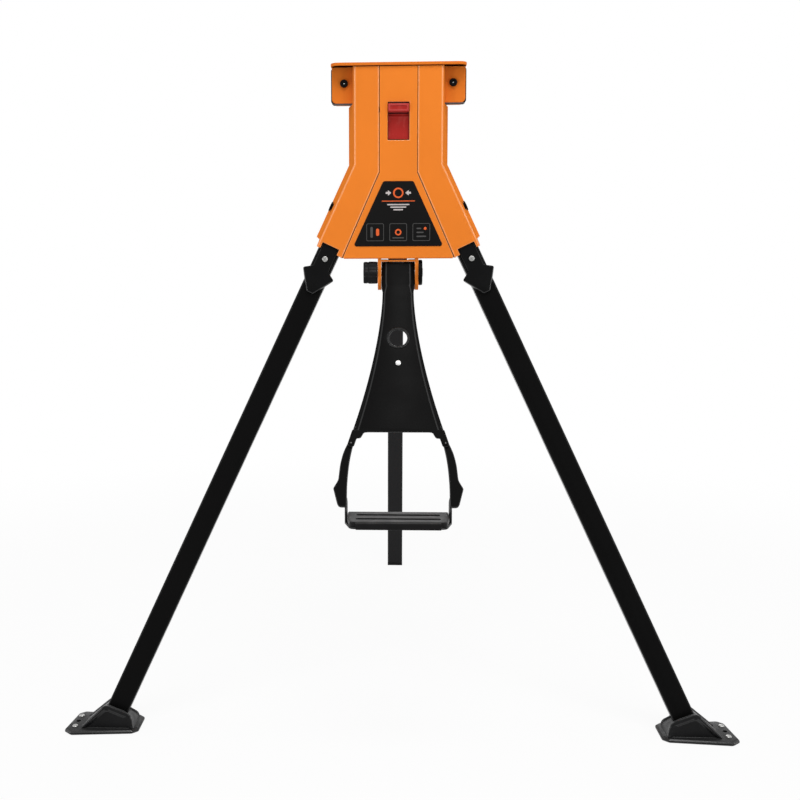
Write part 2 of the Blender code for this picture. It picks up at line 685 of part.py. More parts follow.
def side_shell(bench, side, sign):
    seam = {
        "top": (COVER_WIDTH / 2 + SEAM, COVER_TOP_Z),
        "kink": (COVER_WIDTH / 2 + SEAM, COVER_KINK_Z),
        "foot": (COVER_FOOT_WIDTH / 2 + SEAM, HEAD_BOTTOM_Z),
    }
    rows = []
    for row, (seam_x, seam_z) in seam.items():
        points = [(seam_x, 0, seam_z)]
        bend = math.pi / 2 - SIDE_ANGLE
        start = BEND_RADIUS * math.tan(bend / 2)
        for k in range(BEND_STEPS + 1):
            angle = bend * k / BEND_STEPS
            x, z = shell_edge(row, start - BEND_RADIUS * math.sin(angle))
            points.append((x, BEND_RADIUS * (1 - math.cos(angle)), z))
        x, z = shell_edge(row, -SIDE_LEAN)
        points.append((x, HEAD_DEPTH, z))
        rows.append(points)
    shell = part(f"{side}_side_shell", sided(sheet(rows), sign), "orange_paint", bench)
    thicken(shell, SHEET)
    reach = HEAD_DEPTH + OVERLAP
    jaw = box((HEAD_WIDTH / 2 - BEND_RADIUS, JAW_WIDTH), (JAW_SETBACK - RUN_GAP, reach),
              (PAD_BOTTOM_Z - JAW_CLEAR, WORK_HEIGHT))
    cut(shell, sided(jaw, sign))
    hip = HIPS[side]
    notch = box(both(NOTCH_WIDTH / 2), (-LEG_PIVOT_Y - OVERLAP, -LEG_PIVOT_Y + SHEET + OVERLAP),
                (-SHELL_END - NOTCH_DEPTH, -SHELL_END + NOTCH_DEPTH))
    cut(shell, notch, hip)
    beyond = SHELL_OFFSET + SIDE_LEAN + OVERLAP
    end = box((SHELL_OFFSET - SHEET - OVERLAP, beyond), (BEND_RADIUS - LEG_PIVOT_Y, reach),
              (-SHELL_END - NOTCH_DEPTH, -SHELL_SIDE_END))
    cut(shell, sided(end, sign), hip)
    hole = rod("X", LEG_BOLT_RADIUS + GAP, (LEG_SIZE / 2, beyond))
    cut(shell, sided(hole, sign), hip)


def jaw_holes(piece, span):
    for sign in (-1, 1):
        place = (sign * JAW_BOLT_SPACING / 2, 0, JAW_BOLT_Z)
        cut(piece, rod("Y", JAW_BOLT_RADIUS + GAP, span, place))


def jaw_cap(piece, front, back):
    """Join a top plate, rimmed at its front and sides, onto a jaw plate; front may lie either way."""
    half = JAW_WIDTH / 2 + CAP_OVERHANG
    inner = half - CAP_RIM_WALL
    inward = math.copysign(CAP_RIM_WALL, back - front)
    behind = back + math.copysign(OVERLAP, back - front)
    corners = [(half, back, 0), (half, front, CAP_CORNER)]
    tray = join(piece, plate("Z", rounded(mirrored(corners)), (WORK_HEIGHT - CAP_RIM, WORK_HEIGHT)),
                solver="MANIFOLD")
    corners = [(inner, behind, 0), (inner, front + inward, CAP_CORNER - CAP_RIM_WALL)]
    cut(tray, plate("Z", rounded(mirrored(corners)), (WORK_HEIGHT - CAP_RIM - OVERLAP, TOP_UNDERSIDE)))


def jaw_plate(stem, foot, span):
    """Plate of a jaw: a wide upper part with two ears on a narrower stem."""
    half = JAW_WIDTH / 2
    top = (TOP_UNDERSIDE + WORK_HEIGHT) / 2
    corners = [(half, top, 0), (half, EAR_BOTTOM_Z, JAW_EAR_ROUND), (stem, EAR_BOTTOM_Z, 0),
               (stem, foot, 0)]
    return plate("Y", rounded(mirrored(corners)), span)


def fixed_jaw(bench):
    stem = STEM_WIDTH / 2
    foot = BEAM_TOP_Z + GAP
    jaw = part("fixed_jaw", jaw_plate(stem, foot, (JAW_SETBACK, JAW_BACK_Y)), "orange_paint", bench)
    jaw_cap(jaw, -CAP_FRONT, PAD_FACE_Y)
    for side, sign in SIDES:
        flange = box((stem - STEM_FLANGE, stem - GAP), (SHEET + GAP, JAW_SETBACK + OVERLAP),
                     (foot + GAP, EAR_BOTTOM_Z - GAP))
        join(jaw, sided(flange, sign))
    jaw_holes(jaw, (JAW_SETBACK - OVERLAP, JAW_BACK_Y + OVERLAP))


def jaw_pad(name, parent, span, drilled):
    """Pad between two limits along Y, drilled from the side that faces its jaw plate."""
    half = JAW_WIDTH / 2 + PAD_OVERLAP
    corners = [(half, PAD_TOP_Z, PAD_ROUND), (half, PAD_BOTTOM_Z, PAD_ROUND)]
    pad = part(name, plate("Y", rounded(mirrored(corners)), span), "black_rubber", parent)
    jaw_holes(pad, drilled)


def jaw_bolts(name, parent, seat, outward):
    """Two bolts whose heads seat on a jaw plate and whose shanks end inside the pad."""
    length = JAW_PLATE + JAW_BOLT_DEPTH
    for side, sign in SIDES:
        place = (sign * JAW_BOLT_SPACING / 2, seat + outward * GAP, JAW_BOLT_Z)
        mesh = bolt("Y", JAW_BOLT_HEAD, JAW_BOLT_HEAD_HEIGHT, JAW_BOLT_RADIUS, length, place,
                    -outward)
        part(f"{name}_{side}", mesh, "black_paint", parent)


def label_plate(bench):
    corners = [(LABEL_TOP_WIDTH / 2, LABEL_TOP_Z, LABEL_ROUND),
               (LABEL_BOTTOM_WIDTH / 2, LABEL_BOTTOM_Z, LABEL_ROUND)]
    outline = rounded(mirrored(corners))
    part("label_plate", plate("Y", outline, (-GAP - LABEL_SHEET, -GAP)), "label_film", bench)


# Lock switch
def lock_switch(bench):
    pivot = empty("lock_switch_frame", bench, Matrix.Translation((0, SWITCH_PIVOT_Y, SWITCH_Z)))
    half = SWITCH_WIDTH / 2
    back = -SWITCH_BOSS_RADIUS + SWITCH_PLATE
    face = (-SWITCH_BOSS_RADIUS, back)
    rocker = part("lock_switch", box(both(half), face, (-SWITCH_DOWN, SWITCH_UP)), "red_plastic", pivot)
    lip = box(both(half), (-SWITCH_PIVOT_Y - SWITCH_LIP_REACH, back - OVERLAP / 2),
              (SWITCH_UP - SWITCH_LIP_HEIGHT, SWITCH_UP - OVERLAP / 2))
    join(rocker, lip)
    join(rocker, rod("X", SWITCH_BOSS_RADIUS, both(half - OVERLAP)))
    trunnion = half + WINDOW_MARGIN + HOUSING_WALL - GAP
    join(rocker, rod("X", SWITCH_PIN_RADIUS, both(trunnion), sides=SIDES_SMALL))


def switch_housing(bench):
    inner = SWITCH_WIDTH / 2 + WINDOW_MARGIN
    outer = inner + HOUSING_WALL
    low = SWITCH_Z - SWITCH_DOWN - WINDOW_MARGIN_Z
    high = SWITCH_Z + SWITCH_UP + WINDOW_MARGIN_Z
    back = JAW_SETBACK - GAP
    tall = (low - HOUSING_WALL, high + HOUSING_WALL)
    housing = part("switch_housing", box(both(outer), (SHEET + GAP, back), tall), "black_plastic", bench)
    cut(housing, box(both(inner), (SHEET - OVERLAP, back - HOUSING_BACK), (low, high)))
    hinge = (0, SWITCH_PIVOT_Y, SWITCH_Z)
    cut(housing, rod("X", SWITCH_PIN_RADIUS + GAP, both(outer + OVERLAP), hinge))


# Beam and drive
def main_beam(bench):
    half = BEAM_WIDTH / 2
    beam = part("main_beam", box(both(half), (BEAM_FRONT_Y, BEAM_END_Y), (BEAM_BOTTOM_Z, BEAM_TOP_Z)),
                "orange_paint", bench)
    length = (BEAM_FRONT_Y - OVERLAP, BEAM_END_Y + OVERLAP)
    cut(beam, box(both(BEAM_INNER), length, (BEAM_FLOOR_Z, BEAM_ROOF_Z)))
    cut(beam, box(both(SLOT_WIDTH / 2), SLOT_SPAN, (BEAM_ROOF_Z - OVERLAP, BEAM_TOP_Z + OVERLAP)))
    rise = BEAM_FLOOR_Z - PEDAL_PIVOT_Z
    reach = CRANK_HALF / math.cos(CRANK_ANGLE) + GAP
    front = PEDAL_PIVOT_Y - rise * math.tan(PEDAL_PRESS - CRANK_ANGLE) - reach
    back = PEDAL_PIVOT_Y + rise * math.tan(CRANK_ANGLE) + reach
    cut(beam, box(both(CRANK_OUTER + CRANK_SIDE_GAP), (front, back),
                  (BEAM_BOTTOM_Z - OVERLAP, BEAM_FLOOR_Z + OVERLAP)))
    cut(beam, rod("X", PAWL_PIN_RADIUS + GAP, both(BEAM_WIDTH), (0, PAWL_PIVOT_Y, PAWL_PIVOT_Z)))
    end = BEAM_END_Y + GAP
    cap = part("beam_end_cap", box(both(half), (end, end + END_CAP_PLATE), (BEAM_BOTTOM_Z, BEAM_TOP_Z)),
               "black_plastic", bench)
    join(cap, box(both(BEAM_INNER - GAP), (end - END_CAP_INSERT, end + OVERLAP),
                  (BEAM_FLOOR_Z + GAP, BEAM_ROOF_Z - GAP)))


def drive_bar(bench):
    low = BAR_MIDDLE_Z - BAR_HEIGHT / 2
    high = BAR_MIDDLE_Z + BAR_HEIGHT / 2
    back = CRANK_PIN_Y + YOKE_LENGTH / 2
    bar = part("drive_bar", box(both(BAR_WIDTH / 2), (back - OVERLAP, BAR_END_Y), (low, high)),
               "dark_steel", bench)
    join(bar, box(both(BAR_WIDTH / 2), (CRANK_PIN_Y - YOKE_LENGTH / 2, back), YOKE_Z))
    slot = CRANK_PIN_RADIUS + RUN_GAP
    cut(bar, box(both(BAR_WIDTH / 2 + OVERLAP), (CRANK_PIN_Y - slot, CRANK_PIN_Y + slot), YOKE_SLOT_Z))
    guide = part("bar_guide", box(both(BEAM_INNER - GAP), (GUIDE_Y, GUIDE_Y + GUIDE_LENGTH),
                                  (BEAM_FLOOR_Z + GAP, BEAM_FLOOR_Z + GUIDE_HEIGHT)), "black_plastic", bench)
    cut(guide, box(both(BAR_WIDTH / 2 + RUN_GAP), (GUIDE_Y - OVERLAP, GUIDE_Y + GUIDE_LENGTH + OVERLAP),
                   (low - RUN_GAP, high + RUN_GAP)))


# Sliding jaw
def sliding_jaw(bench):
    frame = empty("sliding_jaw_frame", bench)
    front = SLIDE_PLATE_Y
    back = front + JAW_PLATE
    saddle = SADDLE_WIDTH / 2
    upright = jaw_plate(saddle - SADDLE_INSET, SADDLE_BOTTOM_Z + SADDLE_INSET, (front, back))
    jaw = part("sliding_jaw", upright, "orange_paint", frame)
    jaw_cap(jaw, back + CAP_FRONT, SLIDE_FACE_Y)
    join(jaw, box(both(saddle), (front - GAP / 2, front + SADDLE_LENGTH), (SADDLE_BOTTOM_Z, SADDLE_TOP_Z)))
    end = front + SADDLE_LENGTH - SADDLE_INSET
    gusset = [(back - OVERLAP, SADDLE_TOP_Z - OVERLAP), (end, SADDLE_TOP_Z - OVERLAP),
              (end, SADDLE_TOP_Z + GUSSET_NOSE), (back - OVERLAP, SADDLE_TOP_Z + GUSSET_HEIGHT)]
    for side, sign in SIDES:
        outer = saddle - GUSSET_INSET
        join(jaw, sided(plate("X", gusset, (outer - GUSSET_THICKNESS, outer)), sign))
    jaw_holes(jaw, (front - OVERLAP, back + OVERLAP))
    jaw_pad("sliding_jaw_pad", frame, (SLIDE_FACE_Y, SLIDE_FACE_Y + PAD_THICKNESS),
            (front - GAP - JAW_BOLT_DEPTH - RUN_GAP, front + OVERLAP))
    jaw_bolts("sliding_jaw_bolt", frame, back, 1)
    slide_block(frame, jaw)


def slide_block(frame, jaw):
    width = BEAM_INNER - RUN_GAP
    block = part("slide_block", box(both(width), BLOCK_SPAN, (BLOCK_BOTTOM_Z, BLOCK_TOP_Z)),
                 "dark_steel", frame)
    neck_top = SADDLE_BOTTOM_Z - GAP
    join(block, box(both(NECK_WIDTH / 2), NECK_SPAN, (BLOCK_TOP_Z - OVERLAP, neck_top)))
    top = SADDLE_TOP_Z + GAP
    length = SADDLE_HEIGHT + SADDLE_BOLT_DEPTH
    place = (0, sum(NECK_SPAN) / 2, top)
    hole = rod("Z", SADDLE_BOLT_RADIUS + GAP, (top - length - RUN_GAP, top + OVERLAP), place)
    cut(jaw, hole)
    cut(block, hole.copy())
    mesh = bolt("Z", SADDLE_BOLT_HEAD, SADDLE_BOLT_HEAD_HEIGHT, SADDLE_BOLT_RADIUS, length, place)
    part("saddle_bolt", mesh, "zinc", frame)
    back = BLOCK_SPAN[1] + GAP
    bottom = BEAM_FLOOR_Z + RUN_GAP
    grip = part("grip_plate", box(both(GRIP_WIDTH / 2), (back, back + GRIP_PLATE),
                                  (bottom, bottom + GRIP_HEIGHT)), "dark_steel", frame)
    opening = BAR_HEIGHT / 2 + RUN_GAP
    cut(grip, box(both(BAR_WIDTH / 2 + RUN_GAP), (back - OVERLAP, back + GRIP_PLATE + OVERLAP),
                  (BAR_MIDDLE_Z - opening, BAR_MIDDLE_Z + opening)))


# Front legs
def cross_plate(bench):
    edge = BRACKET_INNER + GAP
    top = BEAM_TOP_Z - CROSS_PLATE_TOP
    above = LEG_SIZE / 2 + LEG_TOP_CLEAR
    lean = side_lean(CROSS_PLATE_Y) - SIDE_SHEET
    wing = SHELL_OFFSET + lean - BRACKET_SHEET
    low = hip_point(-edge, SHELL_END)
    half = [(BEAM_WIDTH / 2 + GAP, top), (HEAD_WIDTH / 2 + lean - GAP, top), hip_point(wing, -above),
            hip_point(-edge, -above), hip_point(-edge, SHELL_SIDE_END), (low[0], HEAD_BOTTOM_Z)]
    notch = [(BEAM_WIDTH / 2 + GAP, BEAM_BOTTOM_Z - GAP)]
    outline = half + [(-x, z) for x, z in reversed(half)] + [(-x, z) for x, z in notch] + notch
    part("cross_plate", plate("Y", outline, (CROSS_PLATE_Y, CROSS_PLATE_Y + CROSS_PLATE)),
         "orange_paint", bench)


def leg_bracket(side, sign, hip):
    inner = -BRACKET_INNER - BRACKET_SHEET
    front = SHEET + GAP - LEG_PIVOT_Y
    back = CROSS_PLATE_Y - GAP - LEG_PIVOT_Y
    tall = (-BRACKET_DOWN, BRACKET_UP)
    mesh = sided(box((inner, -BRACKET_INNER), (front, back), tall), sign)
    bracket = part(f"{side}_leg_bracket", mesh, "dark_steel", hip)
    join(bracket, sided(box((inner, inner + BRACKET_FLANGE), (front, front + BRACKET_SHEET), tall), sign))
    hole = rod("X", LEG_BOLT_RADIUS + GAP, (inner - OVERLAP, -BRACKET_INNER + OVERLAP))
    cut(bracket, sided(hole, sign))


def leg_bolt(side, sign, hip):
    head = SHELL_OFFSET + side_lean(LEG_PIVOT_Y + LEG_BOLT_HEAD) + GAP
    inside = SHELL_OFFSET + side_lean(LEG_PIVOT_Y - LEG_BOLT_SHOULDER) - SIDE_SHEET
    shoulder = (LEG_SIZE / 2 + GAP, inside - GAP)
    seat = -BRACKET_INNER - BRACKET_SHEET - GAP
    tip = seat - NUT_HEIGHT - BOLT_STICKOUT
    top = head + LEG_BOLT_HEAD_HEIGHT
    profile = [(0, top), (LEG_BOLT_HEAD - LEG_BOLT_CHAMFER, top),
               (LEG_BOLT_HEAD, top - LEG_BOLT_CHAMFER), (LEG_BOLT_HEAD, head), (LEG_BOLT_RADIUS, head),
               (LEG_BOLT_RADIUS, shoulder[1]), (LEG_BOLT_SHOULDER, shoulder[1]),
               (LEG_BOLT_SHOULDER, shoulder[0]), (LEG_BOLT_RADIUS, shoulder[0]),
               (LEG_BOLT_RADIUS, tip), (0, tip)]
    part(f"{side}_leg_bolt", sided(turned("X", profile), sign), "black_paint", hip)
    hex_nut(f"{side}_leg_nut", hip, sorted((sign * seat, sign * (seat - NUT_HEIGHT))))


def hex_nut(name, parent, span, at=(0, 0, 0)):
    nut = part(name, rod("X", NUT_RADIUS, span, at, sides=6), "zinc", parent)
    cut(nut, rod("X", LEG_BOLT_RADIUS + GAP, (span[0] - OVERLAP, span[1] + OVERLAP), at))


def square_tube(name, parent, size, top, bottom, finish):
    """Hollow square tube along Z with a bolt hole across it at the origin."""
    tube = part(name, box(both(size / 2), both(size / 2), (bottom, top)), finish, parent)
    bore = size / 2 - LEG_WALL
    cut(tube, box(both(bore), both(bore), (bottom - OVERLAP, top + OVERLAP)))
    cut(tube, rod("X", LEG_BOLT_RADIUS + GAP, both(size)))
    return tube


def tube_plug(name, parent, size, end, cap, insert, finish):
    """Plug in a tube end: cap beyond the end, insert inside; both run from end by signed lengths."""
    seat = end + math.copysign(GAP, cap)
    plug = part(name, box(both(size / 2), both(size / 2), sorted((seat, seat + cap))), finish, parent)
    inside = size / 2 - LEG_WALL - GAP
    join(plug, box(both(inside), both(inside), sorted((seat + math.copysign(OVERLAP, cap), seat + insert))))
    return plug


def front_leg(bench, side, sign):
    hip = HIPS[side]
    lean = Matrix.Rotation(-LEG_LEAN, 4, "X")
    leg = empty(f"{side}_leg_frame", hip, lean)
    turn = hip_matrix(sign) @ lean
    down = turn.to_3x3() @ Vector((0, 0, -1))
    end = (LEG_PIVOT_Z - LEG_END_Z) / -down.z
    tube = square_tube(f"{side}_leg_tube", leg, LEG_SIZE, LEG_ABOVE_PIVOT, -end, "black_paint")
    plug = tube_plug(f"{side}_leg_plug", leg, LEG_SIZE, LEG_ABOVE_PIVOT, PLUG_CAP, -PLUG_INSERT,
                     "black_plastic")
    cut(plug, rod("X", LEG_BOLT_RADIUS + GAP, both(LEG_SIZE)))
    leg_catch(side, leg, tube)
    floor = turn.translation + down * (LEG_PIVOT_Z / -down.z)
    ankle = empty(f"{side}_ankle_frame", leg, turn.inverted() @ Matrix.Translation(floor))
    foot(side, sign, ankle, leg, end)


def leg_catch(side, leg, tube):
    front = -LEG_SIZE / 2 - GAP
    tongue = CATCH_TONGUE_WIDTH / 2
    barb = CATCH_BARB_WIDTH / 2
    corners = [(tongue, -CATCH_TOP, CATCH_ROUND), (tongue, -CATCH_SHOULDER, 0),
               (barb, -CATCH_BARB, CATCH_ROUND), (CATCH_TIP_WIDTH / 2, -CATCH_TIP, CATCH_ROUND)]
    frame = empty(f"{side}_catch_frame", leg)
    mesh = plate("Y", rounded(mirrored(corners)), (front - CATCH_THICKNESS, front))
    catch = part(f"{side}_leg_catch", mesh, "black_plastic", frame)
    slot = capsule((0, -CATCH_SCREW), (0, -CATCH_SCREW + CATCH_TRAVEL), SCREW_RADIUS + GAP)
    cut(catch, plate("Y", slot, (front - CATCH_THICKNESS - OVERLAP, front + OVERLAP)))
    seat = front - CATCH_THICKNESS - GAP
    length = CATCH_THICKNESS + SCREW_DEPTH
    mesh = bolt("Y", SCREW_HEAD, SCREW_HEAD_HEIGHT, SCREW_RADIUS, length, (0, seat, -CATCH_SCREW))
    part(f"{side}_catch_screw", mesh, "zinc", leg)
    cut(tube, rod("Y", SCREW_RADIUS + GAP, (-LEG_SIZE / 2 - OVERLAP, 0), (0, 0, -CATCH_SCREW)))


def foot(side, sign, ankle, leg, end):
    toe = FOOT_TOE_WIDTH / 2
    heel = FOOT_HEEL_WIDTH / 2
    corners = [(FOOT_TOE, -toe, FOOT_ROUND), (FOOT_TOE, toe, FOOT_ROUND), (-FOOT_HEEL, heel, FOOT_ROUND),
               (-FOOT_HEEL, -heel, FOOT_ROUND)]
    mesh = plate("Z", rounded(corners), (0, FOOT_BASE))
    base = part(f"{side}_foot", sided(mesh, sign), "black_plastic", ankle)
    across = LEG_SIZE / 2 / math.cos(LEG_SPLAY) + FOOT_HUMP_WALL
    lean = math.tan(LEG_SPLAY)
    low = FOOT_BASE - OVERLAP
    step = FOOT_BASE + FOOT_HUMP_STEP
    profile = [(-FOOT_HUMP_HEEL, low), (-FOOT_HUMP_HEEL, step),
               (-across - FOOT_HUMP_BACK * lean, FOOT_HUMP_BACK),
               (across - FOOT_HUMP_HEIGHT * lean, FOOT_HUMP_HEIGHT), (FOOT_HUMP_TOE, step),
               (FOOT_HUMP_TOE, low)]
    hump = plate("Y", profile, both(LEG_SIZE / 2 + 2 * FOOT_HUMP_WALL))
    join(base, sided(hump, sign))
    fit = LEG_SIZE / 2 + GAP
    cut(base, box(both(fit), both(fit), (-end - GAP, 0)), leg)
    inset = FOOT_TOE - STUD_INSET
    cut(base, rod("Z", FOOT_HOLE_RADIUS, (-OVERLAP, FOOT_BASE + OVERLAP), (sign * inset, 0, 0), SIDES_SMALL))
    for name, offset in (("front", -STUD_SPACING / 2), ("rear", STUD_SPACING / 2)):
        place = (sign * inset, offset, FOOT_BASE + GAP)
        profile = [(0, STUD_HEIGHT), (STUD_RADIUS * STUD_FLAT, STUD_HEIGHT * STUD_SHOULDER),
                   (STUD_RADIUS, 0), (0, 0)]
        part(f"{side}_foot_stud_{name}", turned("Z", profile, place, SIDES_SMALL), "zinc", ankle)


# Rear leg
def rear_leg(bench):
    hinge = Matrix.Translation((0, REAR_PIVOT_Y, REAR_PIVOT_Z))
    leg = empty("rear_leg_frame", bench, hinge @ Matrix.Rotation(REAR_LEAN, 4, "X"))
    length = REAR_PIVOT_Z / math.cos(REAR_LEAN)
    bottom = -length + REAR_TIP
    square_tube("rear_leg_tube", leg, REAR_LEG_SIZE, LEG_ABOVE_PIVOT, bottom, "black_paint")
    slant = REAR_LEG_SIZE * math.tan(REAR_LEAN)
    tip = tube_plug("rear_leg_tip", leg, REAR_LEG_SIZE, bottom, -REAR_TIP - slant, REAR_TIP_INSERT,
                    "black_rubber")
    ground = (REAR_FLOOR_Y - REAR_LEG_SIZE, REAR_FLOOR_Y + REAR_LEG_SIZE)
    cut(tip, box(both(REAR_LEG_SIZE), ground, (-REAR_LEG_SIZE, 0)), bench)


def rear_bracket(bench):
    inner = REAR_LEG_SIZE / 2 + LEG_SIDE_CLEAR
    outer = inner + REAR_BRACKET_SHEET
    top = BEAM_BOTTOM_Z - GAP
    low = REAR_PIVOT_Z - REAR_BRACKET_DOWN
    span = (REAR_PIVOT_Y - REAR_BRACKET_LENGTH / 2, REAR_PIVOT_Y + REAR_BRACKET_LENGTH / 2)
    web = box(both(BEAM_WIDTH / 2), span, (top - REAR_BRACKET_SHEET, top))
    bracket = part("rear_leg_bracket", web, "orange_paint", bench)
    cheek = rounded([(span[0], top - OVERLAP, 0), (span[1], top - OVERLAP, 0),
                     (span[1], low, REAR_BRACKET_DOWN / 2), (span[0], low, REAR_BRACKET_DOWN / 2)])
    hinge = (0, REAR_PIVOT_Y, REAR_PIVOT_Z)
    for side, sign in SIDES:
        join(bracket, sided(plate("X", cheek, (inner, outer)), sign))
    cut(bracket, rod("X", LEG_BOLT_RADIUS + GAP, both(outer + OVERLAP), hinge))
    seat = outer + GAP
    length = 2 * seat + NUT_HEIGHT + BOLT_STICKOUT
    mesh = bolt("X", LEG_BOLT_HEAD, LEG_BOLT_HEAD_HEIGHT, LEG_BOLT_RADIUS, length,
                (seat, REAR_PIVOT_Y, REAR_PIVOT_Z))
    part("rear_leg_bolt", mesh, "zinc", bench)
    hex_nut("rear_leg_nut", bench, (-seat - NUT_HEIGHT, -seat), hinge)


# Pedal
def pedal_bracket(bench):
    front = SHEET + GAP + RUN_GAP
    top = BEAM_BOTTOM_Z + CHEEK_LAP
    cheek = rounded([(front, top, 0), (front, CHEEK_BOTTOM_Z, CHEEK_ROUND),
                     (CHEEK_BACK_Y, CHEEK_BOTTOM_Z, CHEEK_ROUND), (CHEEK_BACK_Y, top, CHEEK_ROUND)])
    web = box(both(CHEEK_INNER + OVERLAP), (front, CHEEK_BACK_Y), (WEB_Z, WEB_Z + WEB_SHEET))
    bracket = part("pedal_bracket", web, "orange_paint", bench)
    cut(bracket, box(both(CRANK_OUTER + CRANK_SIDE_GAP), (front + WEB_STRIP, CHEEK_BACK_Y + OVERLAP),
                     (WEB_Z - OVERLAP, WEB_Z + WEB_SHEET + OVERLAP)))
    hinge = (0, PEDAL_PIVOT_Y, PEDAL_PIVOT_Z)
    for side, sign in SIDES:
        join(bracket, sided(plate("X", cheek, (CHEEK_INNER, CHEEK_OUTER)), sign))
    cut(bracket, rod("X", PIN_RADIUS + GAP, both(CHEEK_OUTER + OVERLAP), hinge))
    seat = CHEEK_OUTER + GAP
    left = -seat - KNOB_SOCKET + GAP
    right = seat + PIN_NUT_THICKNESS
    part("pedal_pin", rod("X", PIN_RADIUS, (left, right), hinge), "zinc", bench)
    nut = part("pedal_pin_nut", rod("X", PIN_NUT_RADIUS, (seat, right), hinge, SIDES_LARGE),
               "black_paint", bench)
    cut(nut, rod("X", PIN_RADIUS + GAP, (seat - OVERLAP, right + OVERLAP), hinge))


def pedal_knob(bench):
    frame = empty("pedal_knob_frame", bench, Matrix.Translation((0, PEDAL_PIVOT_Y, PEDAL_PIVOT_Z)))
    count = KNOB_LOBES * KNOB_LOBE_POINTS
    outline = []
    for k in range(count):
        angle = 2 * math.pi * k / count
        radius = KNOB_RADIUS + KNOB_LOBE * math.cos(KNOB_LOBES * angle)
        outline.append((radius * math.cos(angle), radius * math.sin(angle)))
    seat = -CHEEK_OUTER - GAP
    knob = part("pedal_lock_knob", plate("X", outline, (seat - KNOB_THICKNESS, seat)),
                "black_plastic", frame)
    cut(knob, rod("X", PIN_RADIUS + GAP, (seat - KNOB_SOCKET, seat + OVERLAP)))


def pedal_half_width(down):
    """Half width of the pedal arm at a distance down from its pivot."""
    if down <= PEDAL_HEAD_END:
        return PEDAL_HEAD_WIDTH / 2
    neck = PEDAL_NECK_WIDTH / 2
    if down <= PEDAL_NECK_END:
        return neck
    share = (down - PEDAL_NECK_END) / (PEDAL_LENGTH - PEDAL_NECK_END)
    return neck + (PEDAL_FOOT_WIDTH / 2 - neck) * share ** PEDAL_FLARE


def pedal_flange(down):
    """How far behind the pivot axis the side flange ends."""
    edge = -PEDAL_FRONT + PEDAL_LIP
    share = min(max((down - PEDAL_NECK_END) / (PEDAL_FLANGE_END - PEDAL_NECK_END), 0), 1)
    return PEDAL_FLANGE_BACK + (edge - PEDAL_FLANGE_BACK) * share


def pedal_arm(frame):
    downs = [-PEDAL_HEAD_UP, PEDAL_HEAD_END, PEDAL_NECK_START, PEDAL_NECK_END]
    for k in range(1, PEDAL_ROWS + 1):
        downs.append(PEDAL_NECK_END + (PEDAL_LENGTH - PEDAL_NECK_END) * k / PEDAL_ROWS)
    rows = []
    for down in downs:
        half = pedal_half_width(down)
        back = pedal_flange(down)
        rows.append([(-half, back, -down), (-half, -PEDAL_FRONT, -down), (half, -PEDAL_FRONT, -down),
                     (half, back, -down)])
    arm = part("pedal_arm", sheet(rows), "black_paint", frame)
    thicken(arm, PEDAL_SHEET)
    face = (-PEDAL_FRONT, -PEDAL_FRONT + PEDAL_SHEET)
    for sign in (-1, 1):
        tab = capsule((sign * (PEDAL_FOOT_WIDTH / 2 - TAB_WIDTH), -PEDAL_LENGTH + TAB_WIDTH),
                      (sign * STIRRUP_RIVET_X, -STIRRUP_RIVET_T), TAB_WIDTH / 2)
        join(arm, plate("Y", tab, face))
        place = (sign * STIRRUP_RIVET_X, 0, -STIRRUP_RIVET_T)
        cut(arm, rod("Y", SMALL_RIVET_RADIUS + GAP, (face[0] - OVERLAP, face[1] + OVERLAP), place,
                     SIDES_RIVET))
    rim = PEDAL_HOLE_RADIUS + PEDAL_HOLE_RIM
    hole = (0, 0, -PEDAL_HOLE_T)
    join(arm, rod("Y", rim, (face[0] - PEDAL_HOLE_RIM_HEIGHT, face[1] - OVERLAP), hole, SIDES_LARGE))
    cut(arm, rod("Y", PEDAL_HOLE_RADIUS, (face[0] - rim, face[1] + OVERLAP), hole, SIDES_LARGE))
    rivet_place = (0, face[0] - GAP, -PEDAL_RIVET_T)
    cut(arm, rod("Y", RIVET_RADIUS + GAP, (face[0] - OVERLAP, face[1] + OVERLAP), rivet_place,
                 SIDES_RIVET))
    cut(arm, rod("X", PIN_RADIUS + GAP, both(PEDAL_HEAD_WIDTH)))
    mesh = rivet(RIVET_HEAD, RIVET_RADIUS, PEDAL_SHEET + 2 * GAP, rivet_place)
    part("pedal_rivet", mesh, "zinc", frame)


def pedal_crank(frame):
    inside = PEDAL_HEAD_WIDTH / 2 - PEDAL_SHEET - GAP
    hub = part("pedal_crank", rod("X", HUB_RADIUS, both(inside)), "dark_steel", frame)
    angle = CRANK_ANGLE - PEDAL_TILT
    pin = (CRANK_LENGTH * math.sin(angle), CRANK_LENGTH * math.cos(angle))
    outline = capsule((0, 0), pin, CRANK_HALF)
    for side, sign in SIDES:
        join(hub, sided(plate("X", outline, (CRANK_INNER, CRANK_OUTER)), sign))
    join(hub, rod("X", CRANK_PIN_RADIUS, both(CRANK_OUTER - OVERLAP), (0, *pin)))
    cut(hub, rod("X", PIN_RADIUS + GAP, both(PEDAL_HEAD_WIDTH)))


